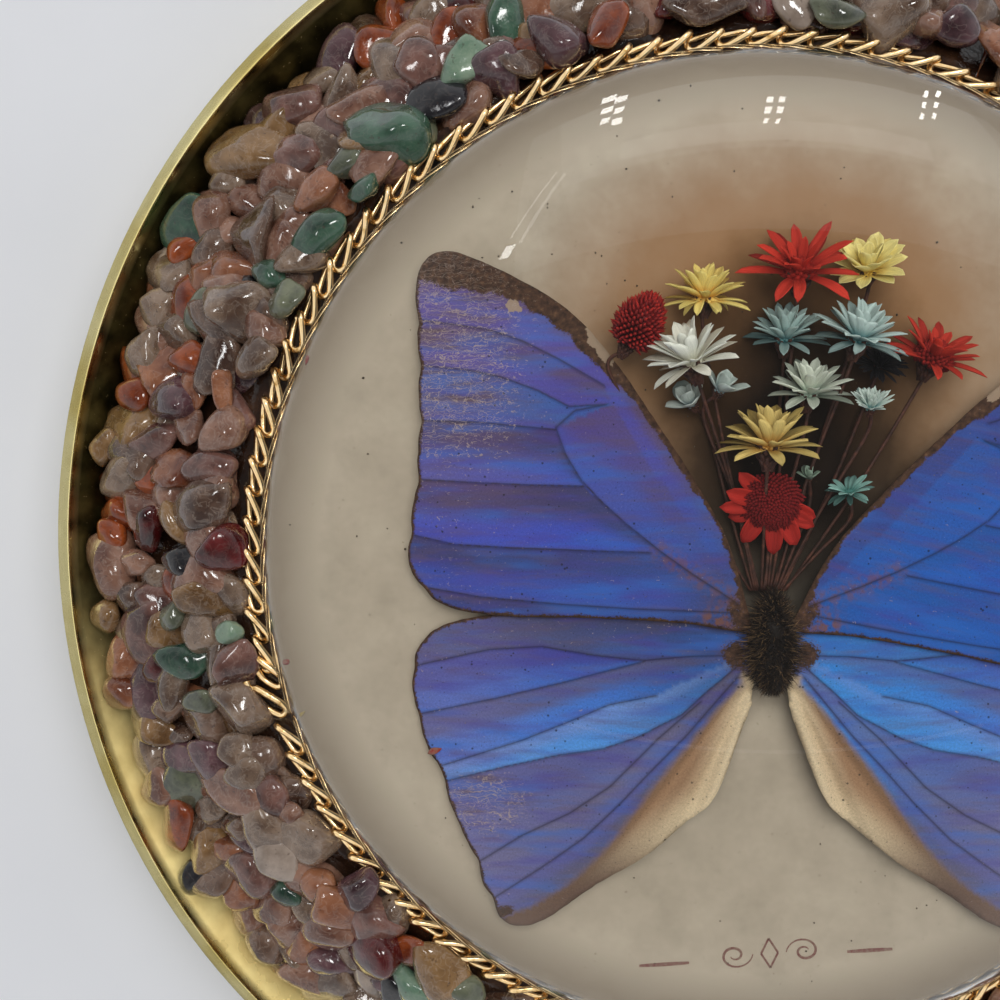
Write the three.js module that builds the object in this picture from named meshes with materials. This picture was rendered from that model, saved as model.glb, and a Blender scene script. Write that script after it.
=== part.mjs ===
// A butterfly and a bunch of dyed dried flowers under a shallow glass dome, set in a round metal
// dish whose border is filled with tumbled gemstone chips. Millimetres, +Z up. The dish stands on
// z = 0 with its axis on the Z axis, and the butterfly's head points along +Y.

import * as THREE from "three";

// Driving dimensions

const rimRadius = 67.5;
const rimHeight = 10;
const sheetThickness = 0.8;
const footRadius = 52;
const lipWidth = 1;
const fitGap = 0.3;

const chainRadius = 47.3;
const chainWidth = 1.8;
const chainDepth = 1.6;
const glassRadius = 46.2;
const glassThickness = 1.8;
const domeRise = 9.6;
const domeEdgeHeight = 1;
const cardRadius = 45.8;
const cardThickness = 0.4;

const seatHeight = 13.2;
const chipDepth = 3.4;
const chipBumps = 0.7;

const bodyCentre = new THREE.Vector3(1.1, -8, 16.5);
const bodyHalfSize = new THREE.Vector3(1.9, 5, 2.2);
const wingThickness = 0.25;
const wingStep = 0.5;
const wingDroop = THREE.MathUtils.degToRad(3.4);

const headDepth = 1.5;
const headSpacing = 1.7;
const stemDiameter = 0.44;
const stemPitch = 0.18;
const stemLayers = 3;

const roundSegments = 60;

// Heights worked out from the driving dimensions

const cardTop = seatHeight + cardThickness;
const glassBase = cardTop + 0.1;
const stemLayerHeight = stemDiameter + 0.01;
const lowestStemZ = cardTop + 0.1 + stemDiameter / 2;
const lowestHeadZ = lowestStemZ + stemLayers * stemLayerHeight + 0.1;
const stemTie = new THREE.Vector2(bodyCentre.x, bodyCentre.y + bodyHalfSize.y + 0.3);

// Materials

function finish(color, roughness, metalness = 0) {
  return new THREE.MeshStandardMaterial({ color, roughness, metalness });
}

const goldTone = finish(0xc9b26a, 0.22, 1);
const glue = finish(0x3a2419, 0.3);
const mixedStone = finish(0x9a7468, 0.25);
const chainGold = finish(0xd6b678, 0.25, 1);
const agedCard = finish(0xa59d8c, 0.9);
const clearGlass = new THREE.MeshStandardMaterial({
  color: 0xe6ebe4,
  roughness: 0.03,
  transparent: true,
  opacity: 0.3,
});
const blueWing = finish(0x3a48b8, 0.45);
const darkFur = finish(0x231a16, 0.9);
const brownStem = finish(0x3d2418, 0.8);
const petalColours = {
  red: 0xb5251f,
  yellow: 0xe0c95a,
  ochre: 0xc2a552,
  white: 0xd9dcd2,
  pale: 0xa9b6b8,
  teal: 0x4f9a9c,
  green: 0x4f7f78,
  black: 0x1c1a1d,
};

function mesh(name, geometry, material) {
  const piece = new THREE.Mesh(geometry, material);
  piece.name = name;
  return piece;
}

function turned(profile, segments = roundSegments) {
  return new THREE.LatheGeometry(profile, segments).rotateX(Math.PI / 2);
}

function point(radius, z) {
  return new THREE.Vector2(radius, z);
}

// Dish: a flat foot, a coved wall and a rounded lip, all of one sheet

const wallFoot = point(rimRadius - 3.4, 4.2);
const wallTop = point(rimRadius - lipWidth * 0.6, rimHeight - 0.9);

function dishOuterLine() {
  const cove = new THREE.QuadraticBezierCurve(
    point(footRadius, 0),
    point(wallFoot.x - 2.4, 0),
    wallFoot,
  );
  return [...cove.getPoints(3), wallTop];
}

function lipLine() {
  const centre = point(rimRadius - lipWidth / 2, rimHeight - lipWidth / 2);
  const steps = 4;
  const line = [];
  for (let step = 0; step <= steps; step += 1) {
    const angle = -Math.PI / 4 + (step / steps) * Math.PI * 1.25;
    line.push(
      point(
        centre.x + (lipWidth / 2) * Math.cos(angle),
        centre.y + (lipWidth / 2) * Math.sin(angle),
      ),
    );
  }
  return line;
}

function dishInnerLine() {
  const inward = dishOuterLine()
    .reverse()
    .map((p) => point(p.x - sheetThickness * 0.8, p.y + sheetThickness * 0.6));
  const floorEdge = inward[inward.length - 1];
  floorEdge.y = sheetThickness;
  return inward;
}

function wallInsideAt(z) {
  const [top, foot] = dishInnerLine();
  return THREE.MathUtils.mapLinear(z, foot.y, top.y, foot.x, top.x);
}

function dish() {
  const profile = [
    point(0, 0),
    ...dishOuterLine(),
    ...lipLine(),
    ...dishInnerLine(),
    point(0, sheetThickness),
  ];
  return mesh("dish", turned(profile), goldTone);
}

// Glue bed: it fills the dish, slopes up from the wall and ends in the medallion's flat seat

const bedEdgeZ = 5.6;
const bedEdge = point(wallInsideAt(bedEdgeZ) - fitGap, bedEdgeZ);
const seatRadius = chainRadius + chainWidth / 2 + 0.4;

function glueBed() {
  const alongWall = dishInnerLine()
    .filter((p) => p.y < bedEdge.y - fitGap)
    .reverse()
    .map((p) => point(p.x - fitGap, p.y + fitGap * 0.5));
  const profile = [
    point(0, sheetThickness + fitGap),
    ...alongWall,
    bedEdge,
    point(seatRadius, seatHeight),
    point(0, seatHeight),
  ];
  return mesh("glue_bed", turned(profile), glue);
}

// Gemstone chips: one bumpy ring that reaches the tips of the chips and lies on the bed's slope

function chipRing() {
  const slope = (bedEdge.y - seatHeight) / (bedEdge.x - seatRadius);
  const bedZ = (radius) => seatHeight + (radius - seatRadius) * slope;
  const inner = seatRadius + fitGap;
  const outer = bedEdge.x;
  const rows = 4;
  const tops = [];
  for (let row = 0; row <= rows; row += 1) {
    const radius = THREE.MathUtils.lerp(outer - 0.5, inner + 0.4, row / rows);
    const rounding = row === 0 ? 0.7 : 1;
    const crowned = Math.min(bedZ(radius) + chipDepth * rounding, seatHeight + chainDepth + 0.6);
    tops.push(point(radius, crowned));
  }
  const foot = [
    point(inner, bedZ(inner) + fitGap),
    point(outer, bedZ(outer) + fitGap),
  ];
  const profile = [...foot, ...tops, foot[0].clone()];
  const geometry = turned(profile, 72);
  const positions = geometry.getAttribute("position");
  const vertex = new THREE.Vector3();
  for (let index = 0; index < positions.count; index += 1) {
    vertex.fromBufferAttribute(positions, index);
    const radius = Math.hypot(vertex.x, vertex.y);
    const isTop = vertex.z > bedZ(radius) + fitGap + 0.5;
    if (isTop) {
      const angle = Math.atan2(vertex.y, vertex.x);
      const bump = Math.sin(angle * 37 + radius * 1.9) * Math.cos(angle * 23 - radius * 1.3);
      positions.setZ(index, vertex.z + Math.min(bump, 0.4) * chipBumps - chipBumps * 0.4);
    }
  }
  return mesh("gem_chips", geometry, mixedStone);
}

// Curb chain: a ring with a six-sided section that holds the links

function chainRing() {
  const corners = 6;
  const flatTop = Math.sin(Math.PI / 3);
  const profile = [];
  for (let corner = 0; corner <= corners; corner += 1) {
    const angle = (corner / corners) * Math.PI * 2;
    profile.push(
      point(
        chainRadius + (chainWidth / 2) * Math.cos(angle),
        seatHeight + (chainDepth / 2) * (1 + Math.sin(angle) / flatTop),
      ),
    );
  }
  return mesh("curb_chain", turned(profile), chainGold);
}

// Medallion: the round card and the pillow-shaped glass over it, open towards the card

function backingCard() {
  const profile = [
    point(0, seatHeight),
    point(cardRadius, seatHeight),
    point(cardRadius, cardTop),
    point(0, cardTop),
  ];
  return mesh("backing_card", turned(profile), agedCard);
}

function pillowLine(radius, rise, edgeHeight) {
  const steps = 7;
  const line = [point(radius, glassBase), point(radius, glassBase + edgeHeight)];
  for (let step = 1; step <= steps; step += 1) {
    const share = Math.cos((step / steps) * (Math.PI / 2)) ** 0.7;
    const height = (1 - share ** 3.2) ** (1 / 2.2);
    line.push(point(radius * share, glassBase + edgeHeight + (rise - edgeHeight) * height));
  }
  line[line.length - 1].x = 0;
  return line;
}

function glassDome() {
  const outside = pillowLine(glassRadius, domeRise, domeEdgeHeight);
  const inside = pillowLine(glassRadius - glassThickness, domeRise - glassThickness, domeEdgeHeight / 2);
  const profile = [...inside.reverse(), ...outside];
  return mesh("glass_dome", turned(profile), clearGlass);
}

// Butterfly: wing outlines run from the root, out along the front edge and back along the rear one.
// They are measured outwards from the body's mid-line and forwards from its centre. The right
// forewing was set lower than the left one.

const wingRoot = new THREE.Vector2(2.5, 2.3);
const rightForewingTurn = THREE.MathUtils.degToRad(13);
const forewingOutline = [
  [2.5, 3.6], [5.5, 11.6], [9.3, 18.2], [14.1, 24.7], [19.4, 30.8], [25.7, 34.2], [29.5, 35.5],
  [31.9, 34], [32.2, 24], [33.2, 9.2], [31.2, 4], [26.7, 2.2], [15.5, 1.8], [2.5, 1],
];
const hindwingOutline = [
  [2.3, 1.4], [15.5, 2.2], [26.7, 2], [31.5, 0.2], [33, -3], [31.7, -10], [29.4, -15.5],
  [26.3, -22.4], [25.1, -26.3], [22.7, -26.9], [19.3, -25.1], [12.1, -20.7], [5.5, -15.5],
  [2.4, -9], [2.2, -4.2],
];

function wing(name, outline, { side, drop = 0, turn = 0 }) {
  const knots = outline.map(([out, ahead]) => new THREE.Vector3(out, ahead, 0));
  const edge = new THREE.CatmullRomCurve3(knots, true, "centripetal").getPoints(outline.length * 3);
  const corners = edge
    .slice(0, -1)
    .map((p) => new THREE.Vector2(p.x, p.y).rotateAround(wingRoot, -turn))
    .map((p) => new THREE.Vector2(p.x * side, p.y));
  const plate = new THREE.ExtrudeGeometry(new THREE.Shape(corners), {
    depth: wingThickness,
    bevelEnabled: false,
  });
  const piece = mesh(name, plate, blueWing);
  piece.position.set(bodyCentre.x, bodyCentre.y, bodyCentre.z - drop);
  piece.rotation.y = side * wingDroop;
  return piece;
}

function butterflyBody() {
  const shape = new THREE.SphereGeometry(1, 12, 8);
  shape.scale(bodyHalfSize.x, bodyHalfSize.y, bodyHalfSize.z);
  const piece = mesh("butterfly_body", shape, darkFur);
  piece.position.copy(bodyCentre);
  return piece;
}

function butterfly() {
  const group = new THREE.Group();
  group.add(wing("forewing_left", forewingOutline, { side: -1 }));
  group.add(wing("forewing_right", forewingOutline, { side: 1, turn: rightForewingTurn }));
  group.add(wing("hindwing_left", hindwingOutline, { side: -1, drop: wingStep }));
  group.add(wing("hindwing_right", hindwingOutline, { side: 1, drop: wingStep }));
  group.add(butterflyBody());
  return group;
}

// Dried flowers: listed as their stems fan out, from the left to the right. Each has its head's
// centre, its radius, how many petals it has, its colour and which of three heights it lies at.

const flowers = [
  { name: "red_cone", x: -11.8, y: 19.6, radius: 2.6, petals: 8, colour: "red", level: 1 },
  { name: "pale_low", x: -6.5, y: 14.1, radius: 1.9, petals: 6, colour: "pale", level: 0 },
  { name: "white", x: -7.2, y: 18.3, radius: 4.4, petals: 9, colour: "white", level: 2 },
  { name: "pale_high", x: -3.7, y: 15.3, radius: 1.9, petals: 6, colour: "pale", level: 1 },
  { name: "yellow_left", x: -5.4, y: 24, radius: 3.7, petals: 9, colour: "yellow", level: 1 },
  { name: "ochre", x: 0.1, y: 11.1, radius: 4, petals: 8, colour: "ochre", level: 2 },
  { name: "red_disc", x: 0.8, y: 4.2, radius: 4.4, petals: 9, colour: "red", level: 1 },
  { name: "teal_left", x: 2.2, y: 20.6, radius: 3.3, petals: 8, colour: "teal", level: 0 },
  { name: "red_top", x: 2.6, y: 26.3, radius: 4.5, petals: 8, colour: "red", level: 2 },
  { name: "white_teal", x: 4, y: 15.5, radius: 3.7, petals: 9, colour: "white", level: 1 },
  { name: "yellow_right", x: 9, y: 26.2, radius: 3.7, petals: 9, colour: "yellow", level: 1 },
  { name: "teal_right", x: 8, y: 20.2, radius: 3.5, petals: 8, colour: "teal", level: 2 },
  { name: "green_bud", x: 4.5, y: 7.2, radius: 1.2, petals: 5, colour: "green", level: 0 },
  { name: "white_teal_small", x: 8.9, y: 13.7, radius: 2.1, petals: 7, colour: "white", level: 2 },
  { name: "black", x: 10.9, y: 17.5, radius: 2.3, petals: 7, colour: "black", level: 0 },
  { name: "teal_small", x: 7.6, y: 6.2, radius: 1.9, petals: 6, colour: "teal", level: 1 },
  { name: "red_right", x: 15.4, y: 18.8, radius: 4.1, petals: 8, colour: "red", level: 1 },
];

function headBottom(flower) {
  return lowestHeadZ + flower.level * headSpacing;
}

// A head is a shallow cup whose edge steps in and out once for each petal
function flowerHead(flower) {
  const { radius, petals } = flower;
  const profile = [
    point(0, 0),
    point(radius * 0.4, headDepth * 0.1),
    point(radius, headDepth * 0.75),
    point(radius * 0.9, headDepth),
    point(0, headDepth * 0.4),
  ];
  const geometry = turned(profile, petals * 2);
  const positions = geometry.getAttribute("position");
  for (let index = 0; index < positions.count; index += 1) {
    const x = positions.getX(index);
    const y = positions.getY(index);
    const fromCentre = Math.hypot(x, y);
    if (fromCentre > radius * 0.5) {
      const notch = 0.88 + 0.12 * Math.cos(Math.atan2(y, x) * petals);
      positions.setXY(index, x * notch, y * notch);
    }
  }
  const material = finish(petalColours[flower.colour], 0.7);
  const piece = mesh(`flower_${flower.name}`, geometry, material);
  piece.position.set(flower.x, flower.y, headBottom(flower));
  return piece;
}

function stemSection() {
  const sides = 6;
  const corners = [];
  for (let side = 0; side < sides; side += 1) {
    const angle = (side / sides) * Math.PI * 2;
    corners.push(point((stemDiameter / 2) * Math.cos(angle), (stemDiameter / 2) * Math.sin(angle)));
  }
  return new THREE.Shape(corners);
}

// A stem drops from under its head, turns onto its layer and runs straight to the tie
function stem(flower, order) {
  const layer = stemLayers - 1 - (order % stemLayers);
  const z = lowestStemZ + layer * stemLayerHeight;
  const sideways = (order - (flowers.length - 1) / 2) * stemPitch;
  const end = new THREE.Vector3(stemTie.x + sideways, stemTie.y, z);
  const top = new THREE.Vector3(flower.x, flower.y, headBottom(flower) - 0.1);
  const turn = new THREE.Vector3(flower.x, flower.y, z);
  const knee = turn.clone().lerp(end, 1.2 / turn.distanceTo(end));
  const route = new THREE.CurvePath();
  route.add(new THREE.QuadraticBezierCurve3(top, turn, knee));
  route.add(new THREE.LineCurve3(knee, end));
  const geometry = new THREE.ExtrudeGeometry(stemSection(), {
    steps: 6,
    extrudePath: route,
    bevelEnabled: false,
  });
  return mesh(`stem_${flower.name}`, geometry, brownStem);
}

function bouquet() {
  const group = new THREE.Group();
  flowers.forEach((flower, order) => {
    group.add(flowerHead(flower));
    group.add(stem(flower, order));
  });
  return group;
}

const model = new THREE.Group();
model.add(dish());
model.add(glueBed());
model.add(chipRing());
model.add(chainRing());
model.add(backingCard());
model.add(butterfly());
model.add(bouquet());
model.add(glassDome());

export default model;
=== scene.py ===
"""A butterfly and a bunch of dyed dried flowers under a glass dome, set in a metal dish whose
border is filled with tumbled gemstone chips. Shapes are worked out in millimetres in the frame
of the CAD model, and become metres where a mesh is made."""

import math

import bmesh
import bpy
import numpy as np
from mathutils import Matrix, Vector
from mathutils.geometry import delaunay_2d_cdt


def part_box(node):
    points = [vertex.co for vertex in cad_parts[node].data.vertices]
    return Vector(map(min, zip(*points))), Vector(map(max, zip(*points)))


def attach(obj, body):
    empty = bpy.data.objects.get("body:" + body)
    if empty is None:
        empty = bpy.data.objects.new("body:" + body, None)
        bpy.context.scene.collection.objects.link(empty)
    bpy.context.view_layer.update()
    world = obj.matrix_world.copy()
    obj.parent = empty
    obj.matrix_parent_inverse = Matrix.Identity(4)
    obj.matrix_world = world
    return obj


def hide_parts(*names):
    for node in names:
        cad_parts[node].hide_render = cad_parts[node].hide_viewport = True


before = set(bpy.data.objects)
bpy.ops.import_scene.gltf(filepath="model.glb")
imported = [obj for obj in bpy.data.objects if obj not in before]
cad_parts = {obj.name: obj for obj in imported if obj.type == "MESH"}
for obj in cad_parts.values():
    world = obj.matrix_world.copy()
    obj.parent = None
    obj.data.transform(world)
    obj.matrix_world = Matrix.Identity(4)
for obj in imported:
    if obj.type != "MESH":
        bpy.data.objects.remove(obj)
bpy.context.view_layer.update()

MM = 0.001
rng = np.random.default_rng(48)

# Sizes that the frame gives, in millimetres


def node_box(node):
    low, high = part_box(node)
    return np.array(low) / MM, np.array(high) / MM


def node_centre(node):
    low, high = node_box(node)
    return (low + high) / 2


RIM_RADIUS = node_box("dish")[1][0]
RIM_HEIGHT = node_box("dish")[1][2]
SHEET = 0.8
FOOT_RADIUS = 52
FOOT_RING = (43.4, 44)
FOOT_RING_DEPTH = 0.25
WALL_INSET = 3.4
WALL_FOOT_HEIGHT = 4.2
LIP_WIDTH = 1.0
DISH_SEGMENTS = 192
GLUE_SEGMENTS = 320
CARD_SEGMENTS = 160
GLASS_SEGMENTS = 192
CHAIN_RADIUS = node_box("curb_chain")[1][0] - 0.9
CHAIN_HEIGHT = node_centre("curb_chain")[2]
SEAT_HEIGHT = node_box("backing_card")[0][2]
CARD_TOP = node_box("backing_card")[1][2]
CARD_RADIUS = node_box("backing_card")[1][0]
GLASS_RADIUS = node_box("glass_dome")[1][0]
GLASS_BASE = node_box("glass_dome")[0][2]
GLASS_TOP = node_box("glass_dome")[1][2]
GLASS_THICKNESS = 1.8
FOOT_THICKNESS = 0.7
GLASS_EDGE = 1.0
BODY = node_centre("butterfly_body")
BODY_HALF = (node_box("butterfly_body")[1] - node_box("butterfly_body")[0]) / 2
BED_EDGE_HEIGHT = 5.6
BED_EDGE_RADIUS = 63.9
SEAT_RADIUS = 48.6

# The photograph's camera

PHOTO_SIZE = 1000
FOCAL_PIXELS = 1072
SENSOR_WIDTH = 36
EYE = Vector((-22.07, 9.55, 114.38))
AIM = Matrix.Rotation(math.radians(-2.73), 3, "X") @ Matrix.Rotation(math.radians(0.95), 3, "Y")


def at_pixel(pixel, height):
    """The place at that height, in millimetres, that the photograph shows at that pixel."""
    across = (pixel[0] - PHOTO_SIZE / 2) / FOCAL_PIXELS
    down = (pixel[1] - PHOTO_SIZE / 2) / FOCAL_PIXELS
    ray = AIM @ Vector((across, -down, -1))
    return np.array(EYE + ray * ((height - EYE.z) / ray.z))


# Small helpers for numbers


def smooth(value, low, high):
    """0 at low, 1 at high, and a smooth turn between them."""
    share = np.clip((value - low) / (high - low), 0, 1)
    return share * share * (3 - 2 * share)


def colour(code):
    """A hex colour as the linear numbers that shaders take."""
    parts = [int(code[i : i + 2], 16) / 255 for i in (0, 2, 4)]
    return tuple(p / 12.92 if p <= 0.04045 else ((p + 0.055) / 1.055) ** 2.4 for p in parts)


def spline(knots, steps, closed=False):
    """A Catmull-Rom line through the knots, with that many steps from each one to the next."""
    knots = np.asarray(knots, float)
    count = len(knots)
    spans = count if closed else count - 1
    line = []
    for i in range(spans):
        if closed:
            a, b, c, d = (knots[(i + k) % count] for k in (-1, 0, 1, 2))
        else:
            a, b, c, d = (knots[min(max(i + k, 0), count - 1)] for k in (-1, 0, 1, 2))
        for t in np.arange(steps) / steps:
            pull = (2 * b) + (c - a) * t + (2 * a - 5 * b + 4 * c - d) * t**2
            line.append(0.5 * (pull + (3 * b - a - 3 * c + d) * t**3))
    if not closed:
        line.append(knots[-1])
    return np.array(line)


def distance_to(points, line):
    """How far each point is from a line of points."""
    best = np.full(len(points), 1e9)
    for a, b in zip(line[:-1], line[1:]):
        along = b - a
        share = np.clip((points - a) @ along / max(along @ along, 1e-9), 0, 1)
        best = np.minimum(best, np.linalg.norm(points - a - share[:, None] * along, axis=1))
    return best


def turn_to(direction, spin=0.0):
    """A rotation matrix that takes +Z to the direction."""
    quaternion = Vector(direction).to_track_quat("Z", "Y")
    return np.array(quaternion.to_matrix() @ Matrix.Rotation(spin, 3, "Z"))


# Meshes


class Heap:
    """Collects shapes that end up in one mesh, with the values that its material reads."""

    def __init__(self):
        self.points = []
        self.faces = []
        self.values = {}
        self.count = 0

    def add(self, points, faces, **values):
        self.points.append(points)
        self.faces.append(np.asarray(faces) + self.count)
        self.count += len(points)
        for key, value in values.items():
            value = np.asarray(value, float)
            shape = (len(points),) if value.ndim == 0 else (len(points), 3)
            if value.ndim == 0 or len(value) != len(points):
                value = np.full(shape, value)
            self.values.setdefault(key, []).append(value)

    def joined(self):
        """Points, faces and values as single arrays. Triangles get their last corner twice."""
        faces = [f if f.shape[1] == 4 else f[:, [0, 1, 2, 2]] for f in self.faces]
        values = {key: np.concatenate(parts) for key, parts in self.values.items()}
        return np.concatenate(self.points), np.concatenate(faces), values


def grid_faces(rows, columns, wrap_rows=False, wrap_columns=False):
    """Quads between the points of a grid that is stored row by row."""
    index = np.arange(rows * columns).reshape(rows, columns)
    if wrap_rows:
        index = np.vstack([index, index[:1]])
    if wrap_columns:
        index = np.hstack([index, index[:, :1]])
    corners = [index[:-1, :-1], index[:-1, 1:], index[1:, 1:], index[1:, :-1]]
    return np.stack([c.ravel() for c in corners], axis=1)


def place(name, points, faces, finish, nodes, slot, values=None, sharp=None, thickness=None):
    """Makes a piece of the object that stands for the named CAD nodes."""
    mesh = bpy.data.meshes.new(name)
    corners = [list(dict.fromkeys(face)) for face in np.asarray(faces).tolist()]
    mesh.from_pydata((np.asarray(points) * MM).tolist(), [], corners)
    for key, value in (values or {}).items():
        kind = "FLOAT" if value.ndim == 1 else "FLOAT_VECTOR"
        attribute = mesh.attributes.new(key, kind, "POINT")
        attribute.data.foreach_set("value" if value.ndim == 1 else "vector", value.astype("f").ravel())
    mesh.shade_smooth()
    if sharp is not None:
        mesh.set_sharp_from_angle(angle=math.radians(sharp))
    for one in finish if isinstance(finish, list) else [finish]:
        mesh.materials.append(one)
    piece = bpy.data.objects.new(name, mesh)
    bpy.context.scene.collection.objects.link(piece)
    if thickness:
        solidify = piece.modifiers.new("thickness", "SOLIDIFY")
        solidify.thickness = thickness * MM
        solidify.offset = -1
        solidify.material_offset = 1 if isinstance(finish, list) else 0
    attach(piece, "root")
    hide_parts(*nodes)
    return piece


def turned(profile, segments, closed=True):
    """A shape turned round the Z axis from (radius, z) points. Its ends on the axis are merged."""
    profile = np.asarray(profile, float)
    angles = np.arange(segments) / segments * 2 * np.pi
    radius, z = profile[:, :1], profile[:, 1:]
    rows = [radius * np.cos(angles), radius * np.sin(angles), z + 0 * angles]
    points = np.stack([r.ravel() for r in rows], axis=1)
    return points, grid_faces(len(profile), segments, wrap_rows=closed, wrap_columns=True)


def merge_poles(piece):
    """Merges points that share a place, and turns all faces outwards."""
    shape = bmesh.new()
    shape.from_mesh(piece.data)
    bmesh.ops.remove_doubles(shape, verts=shape.verts, dist=1e-7)
    bmesh.ops.dissolve_degenerate(shape, edges=shape.edges, dist=1e-8)
    bmesh.ops.recalc_face_normals(shape, faces=shape.faces)
    shape.to_mesh(piece.data)
    shape.free()


def tube(path, radius, sides, closed=False):
    """A round tube along a path, with caps where it isn't closed."""
    path = np.asarray(path, float)
    radii = np.broadcast_to(radius, len(path))
    if closed:
        along = np.roll(path, -1, axis=0) - np.roll(path, 1, axis=0)
    else:
        along = np.gradient(path, axis=0)
    along /= np.linalg.norm(along, axis=1)[:, None]
    side = np.cross(along[0], [0.31, 0.17, 0.93])
    frames = []
    for direction in along:
        side = side - direction * (side @ direction)
        side = side / np.linalg.norm(side)
        frames.append((side, np.cross(direction, side)))
    angles = np.arange(sides) / sides * 2 * np.pi
    rings = [
        centre + r * (np.outer(np.cos(angles), a) + np.outer(np.sin(angles), b))
        for centre, r, (a, b) in zip(path, radii, frames)
    ]
    faces = grid_faces(len(path), sides, wrap_rows=closed, wrap_columns=True)
    points = np.concatenate(rings)
    if closed:
        return points, faces
    caps = []
    for end, first in ((0, 0), (1, (len(path) - 1) * sides)):
        points = np.vstack([points, path[-end]])
        tip = len(points) - 1
        for k in range(sides):
            pair = (first + k, first + (k + 1) % sides)
            caps.append([tip, *(pair if end else pair[::-1]), tip])
    return points, np.vstack([faces, caps])


# Materials: short ways to add nodes


def new_material(name):
    material = bpy.data.materials.new(name)
    material.use_nodes = True
    tree = material.node_tree
    return material, tree, tree.nodes["Principled BSDF"]


def plug(tree, socket, value):
    """Links a socket to another one, or sets its own value."""
    if isinstance(value, bpy.types.NodeSocket):
        tree.links.new(value, socket)
    elif isinstance(value, tuple) and len(value) == 3 and len(socket.default_value) == 4:
        socket.default_value = (*value, 1)
    else:
        socket.default_value = value


def add(tree, kind, settings=None, **inputs):
    """Adds a node. An input's name has an underscore for each space."""
    made = tree.nodes.new("ShaderNode" + kind)
    for key, value in (settings or {}).items():
        setattr(made, key, value)
    for key, value in inputs.items():
        plug(tree, made.inputs[key.replace("_", " ")], value)
    return made


def calc(tree, operation, first, second=0.0, third=0.0):
    made = add(tree, "Math", {"operation": operation})
    for socket, value in zip(made.inputs, (first, second, third)):
        plug(tree, socket, value)
    return made.outputs[0]


def mix(tree, share, first, second, blend="MIX"):
    made = add(tree, "Mix", {"data_type": "RGBA", "blend_type": blend})
    plug(tree, made.inputs[0], share)
    plug(tree, made.inputs[6], first)
    plug(tree, made.inputs[7], second)
    return made.outputs[2]


def stained(tree, base, share, code, most=1.0):
    """The base with a colour laid over it, as far as the share and the most of it say."""
    return mix(tree, calc(tree, "MULTIPLY", share, most), base, colour(code))


def vector_calc(tree, operation, vector, amounts=(0, 0, 0)):
    made = add(tree, "VectorMath", {"operation": operation}, Vector=vector)
    made.inputs[1].default_value = amounts
    return made.outputs["Value" if operation == "LENGTH" else "Vector"]


def ramp(tree, share, stops):
    """A colour ramp whose stops are (position, colour) or (position, grey)."""
    made = add(tree, "ValToRGB", Fac=share)
    elements = made.color_ramp.elements
    while len(elements) < len(stops):
        elements.new(0.5)
    for element, (position, shade) in zip(elements, stops):
        element.position = position
        element.color = (*(shade if isinstance(shade, tuple) else (shade,) * 3), 1)
    return made.outputs[0]


def shades(tree, share, *stops):
    """A colour ramp whose stops are (position, hex colour)."""
    return ramp(tree, share, [(position, colour(code)) for position, code in stops])


def place_in_object(tree):
    return add(tree, "TexCoord").outputs["Object"]


def stored(tree, key, output="Fac"):
    return add(tree, "Attribute", {"attribute_name": key}).outputs[output]


def cloud(tree, where, size, detail=4.0, roughness=0.55, distortion=0.0):
    """Noise whose blotches are about that many millimetres wide."""
    made = add(
        tree,
        "TexNoise",
        Vector=where,
        Scale=1 / (size * MM),
        Detail=detail,
        Roughness=roughness,
        Distortion=distortion,
    )
    return made.outputs["Fac"]


def bump(tree, shader, height, depth, strength=1.0):
    """Bumps the surface by a height from 0 to 1 that stands for a depth in millimetres."""
    made = add(tree, "Bump", Strength=strength, Distance=depth * MM, Height=height)
    plug(tree, shader.inputs["Normal"], made.outputs[0])


def settle(tree, shader, **inputs):
    for key, value in inputs.items():
        plug(tree, shader.inputs[key.replace("_", " ")], value)


def from_axis(tree, where):
    """The distance from the Z axis, in metres."""
    return vector_calc(tree, "LENGTH", vector_calc(tree, "MULTIPLY", where, (1, 1, 0)))


# How close the lathe's fine and wide lines lie, in turns of the sine for a metre
FINE_LINES = 24000.0
WIDE_LINES = 7100.0


def gold_metal():
    """Bright spun brass tone with turning lines and smears, with painted dark reflection as dark olive on
    one side of the wall and painted light as paler, less metallic gold on another side.
    """
    material, tree, shader = new_material("gold_tone_spun_metal")
    where = place_in_object(tree)
    radius = from_axis(tree, where)
    lines = calc(tree, "SINE", calc(tree, "MULTIPLY", radius, FINE_LINES))
    wide_lines = calc(tree, "SINE", calc(tree, "MULTIPLY", radius, WIDE_LINES))
    both = calc(tree, "MULTIPLY_ADD", lines, 0.3, calc(tree, "MULTIPLY_ADD", wide_lines, 0.2, 0.5))
    stain = cloud(tree, where, 9, detail=3)
    base = shades(tree, stain, (0.36, "cfbc74"), (0.62, "e6d99e"))
    smear = cloud(tree, where, 2.5, detail=3)
    # Painted dark reflection: one side of the wall is turned dark olive, with rougher metal.
    painted_dark_reflection = stored(tree, "painted_dark_reflection")
    base = mix(tree, painted_dark_reflection, base, shades(tree, smear, (0.35, "3f3a22"), (0.7, "6a6038")))
    specks = ramp(tree, cloud(tree, where, 0.35, detail=2), [(0.7, 0.0), (0.74, 1.0)])
    base = stained(tree, base, specks, "b9a878", painted_dark_reflection)
    # Painted light: another side of the wall is paler and less metallic gold, so that it looks lit.
    painted_lit_side = stored(tree, "painted_lit_side")
    base = mix(tree, painted_lit_side, base, shades(tree, smear, (0.35, "dcc684"), (0.7, "f0dc98")))
    rough = ramp(tree, smear, [(0.3, 0.2), (0.75, 0.34)])
    settle(
        tree,
        shader,
        Base_Color=base,
        Metallic=calc(tree, "MULTIPLY_ADD", painted_lit_side, -0.7, 1.0),
        Roughness=calc(tree, "MULTIPLY_ADD", painted_dark_reflection, 0.18, rough),
    )
    bump(tree, shader, both, 0.01, 0.12)
    return material


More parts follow.
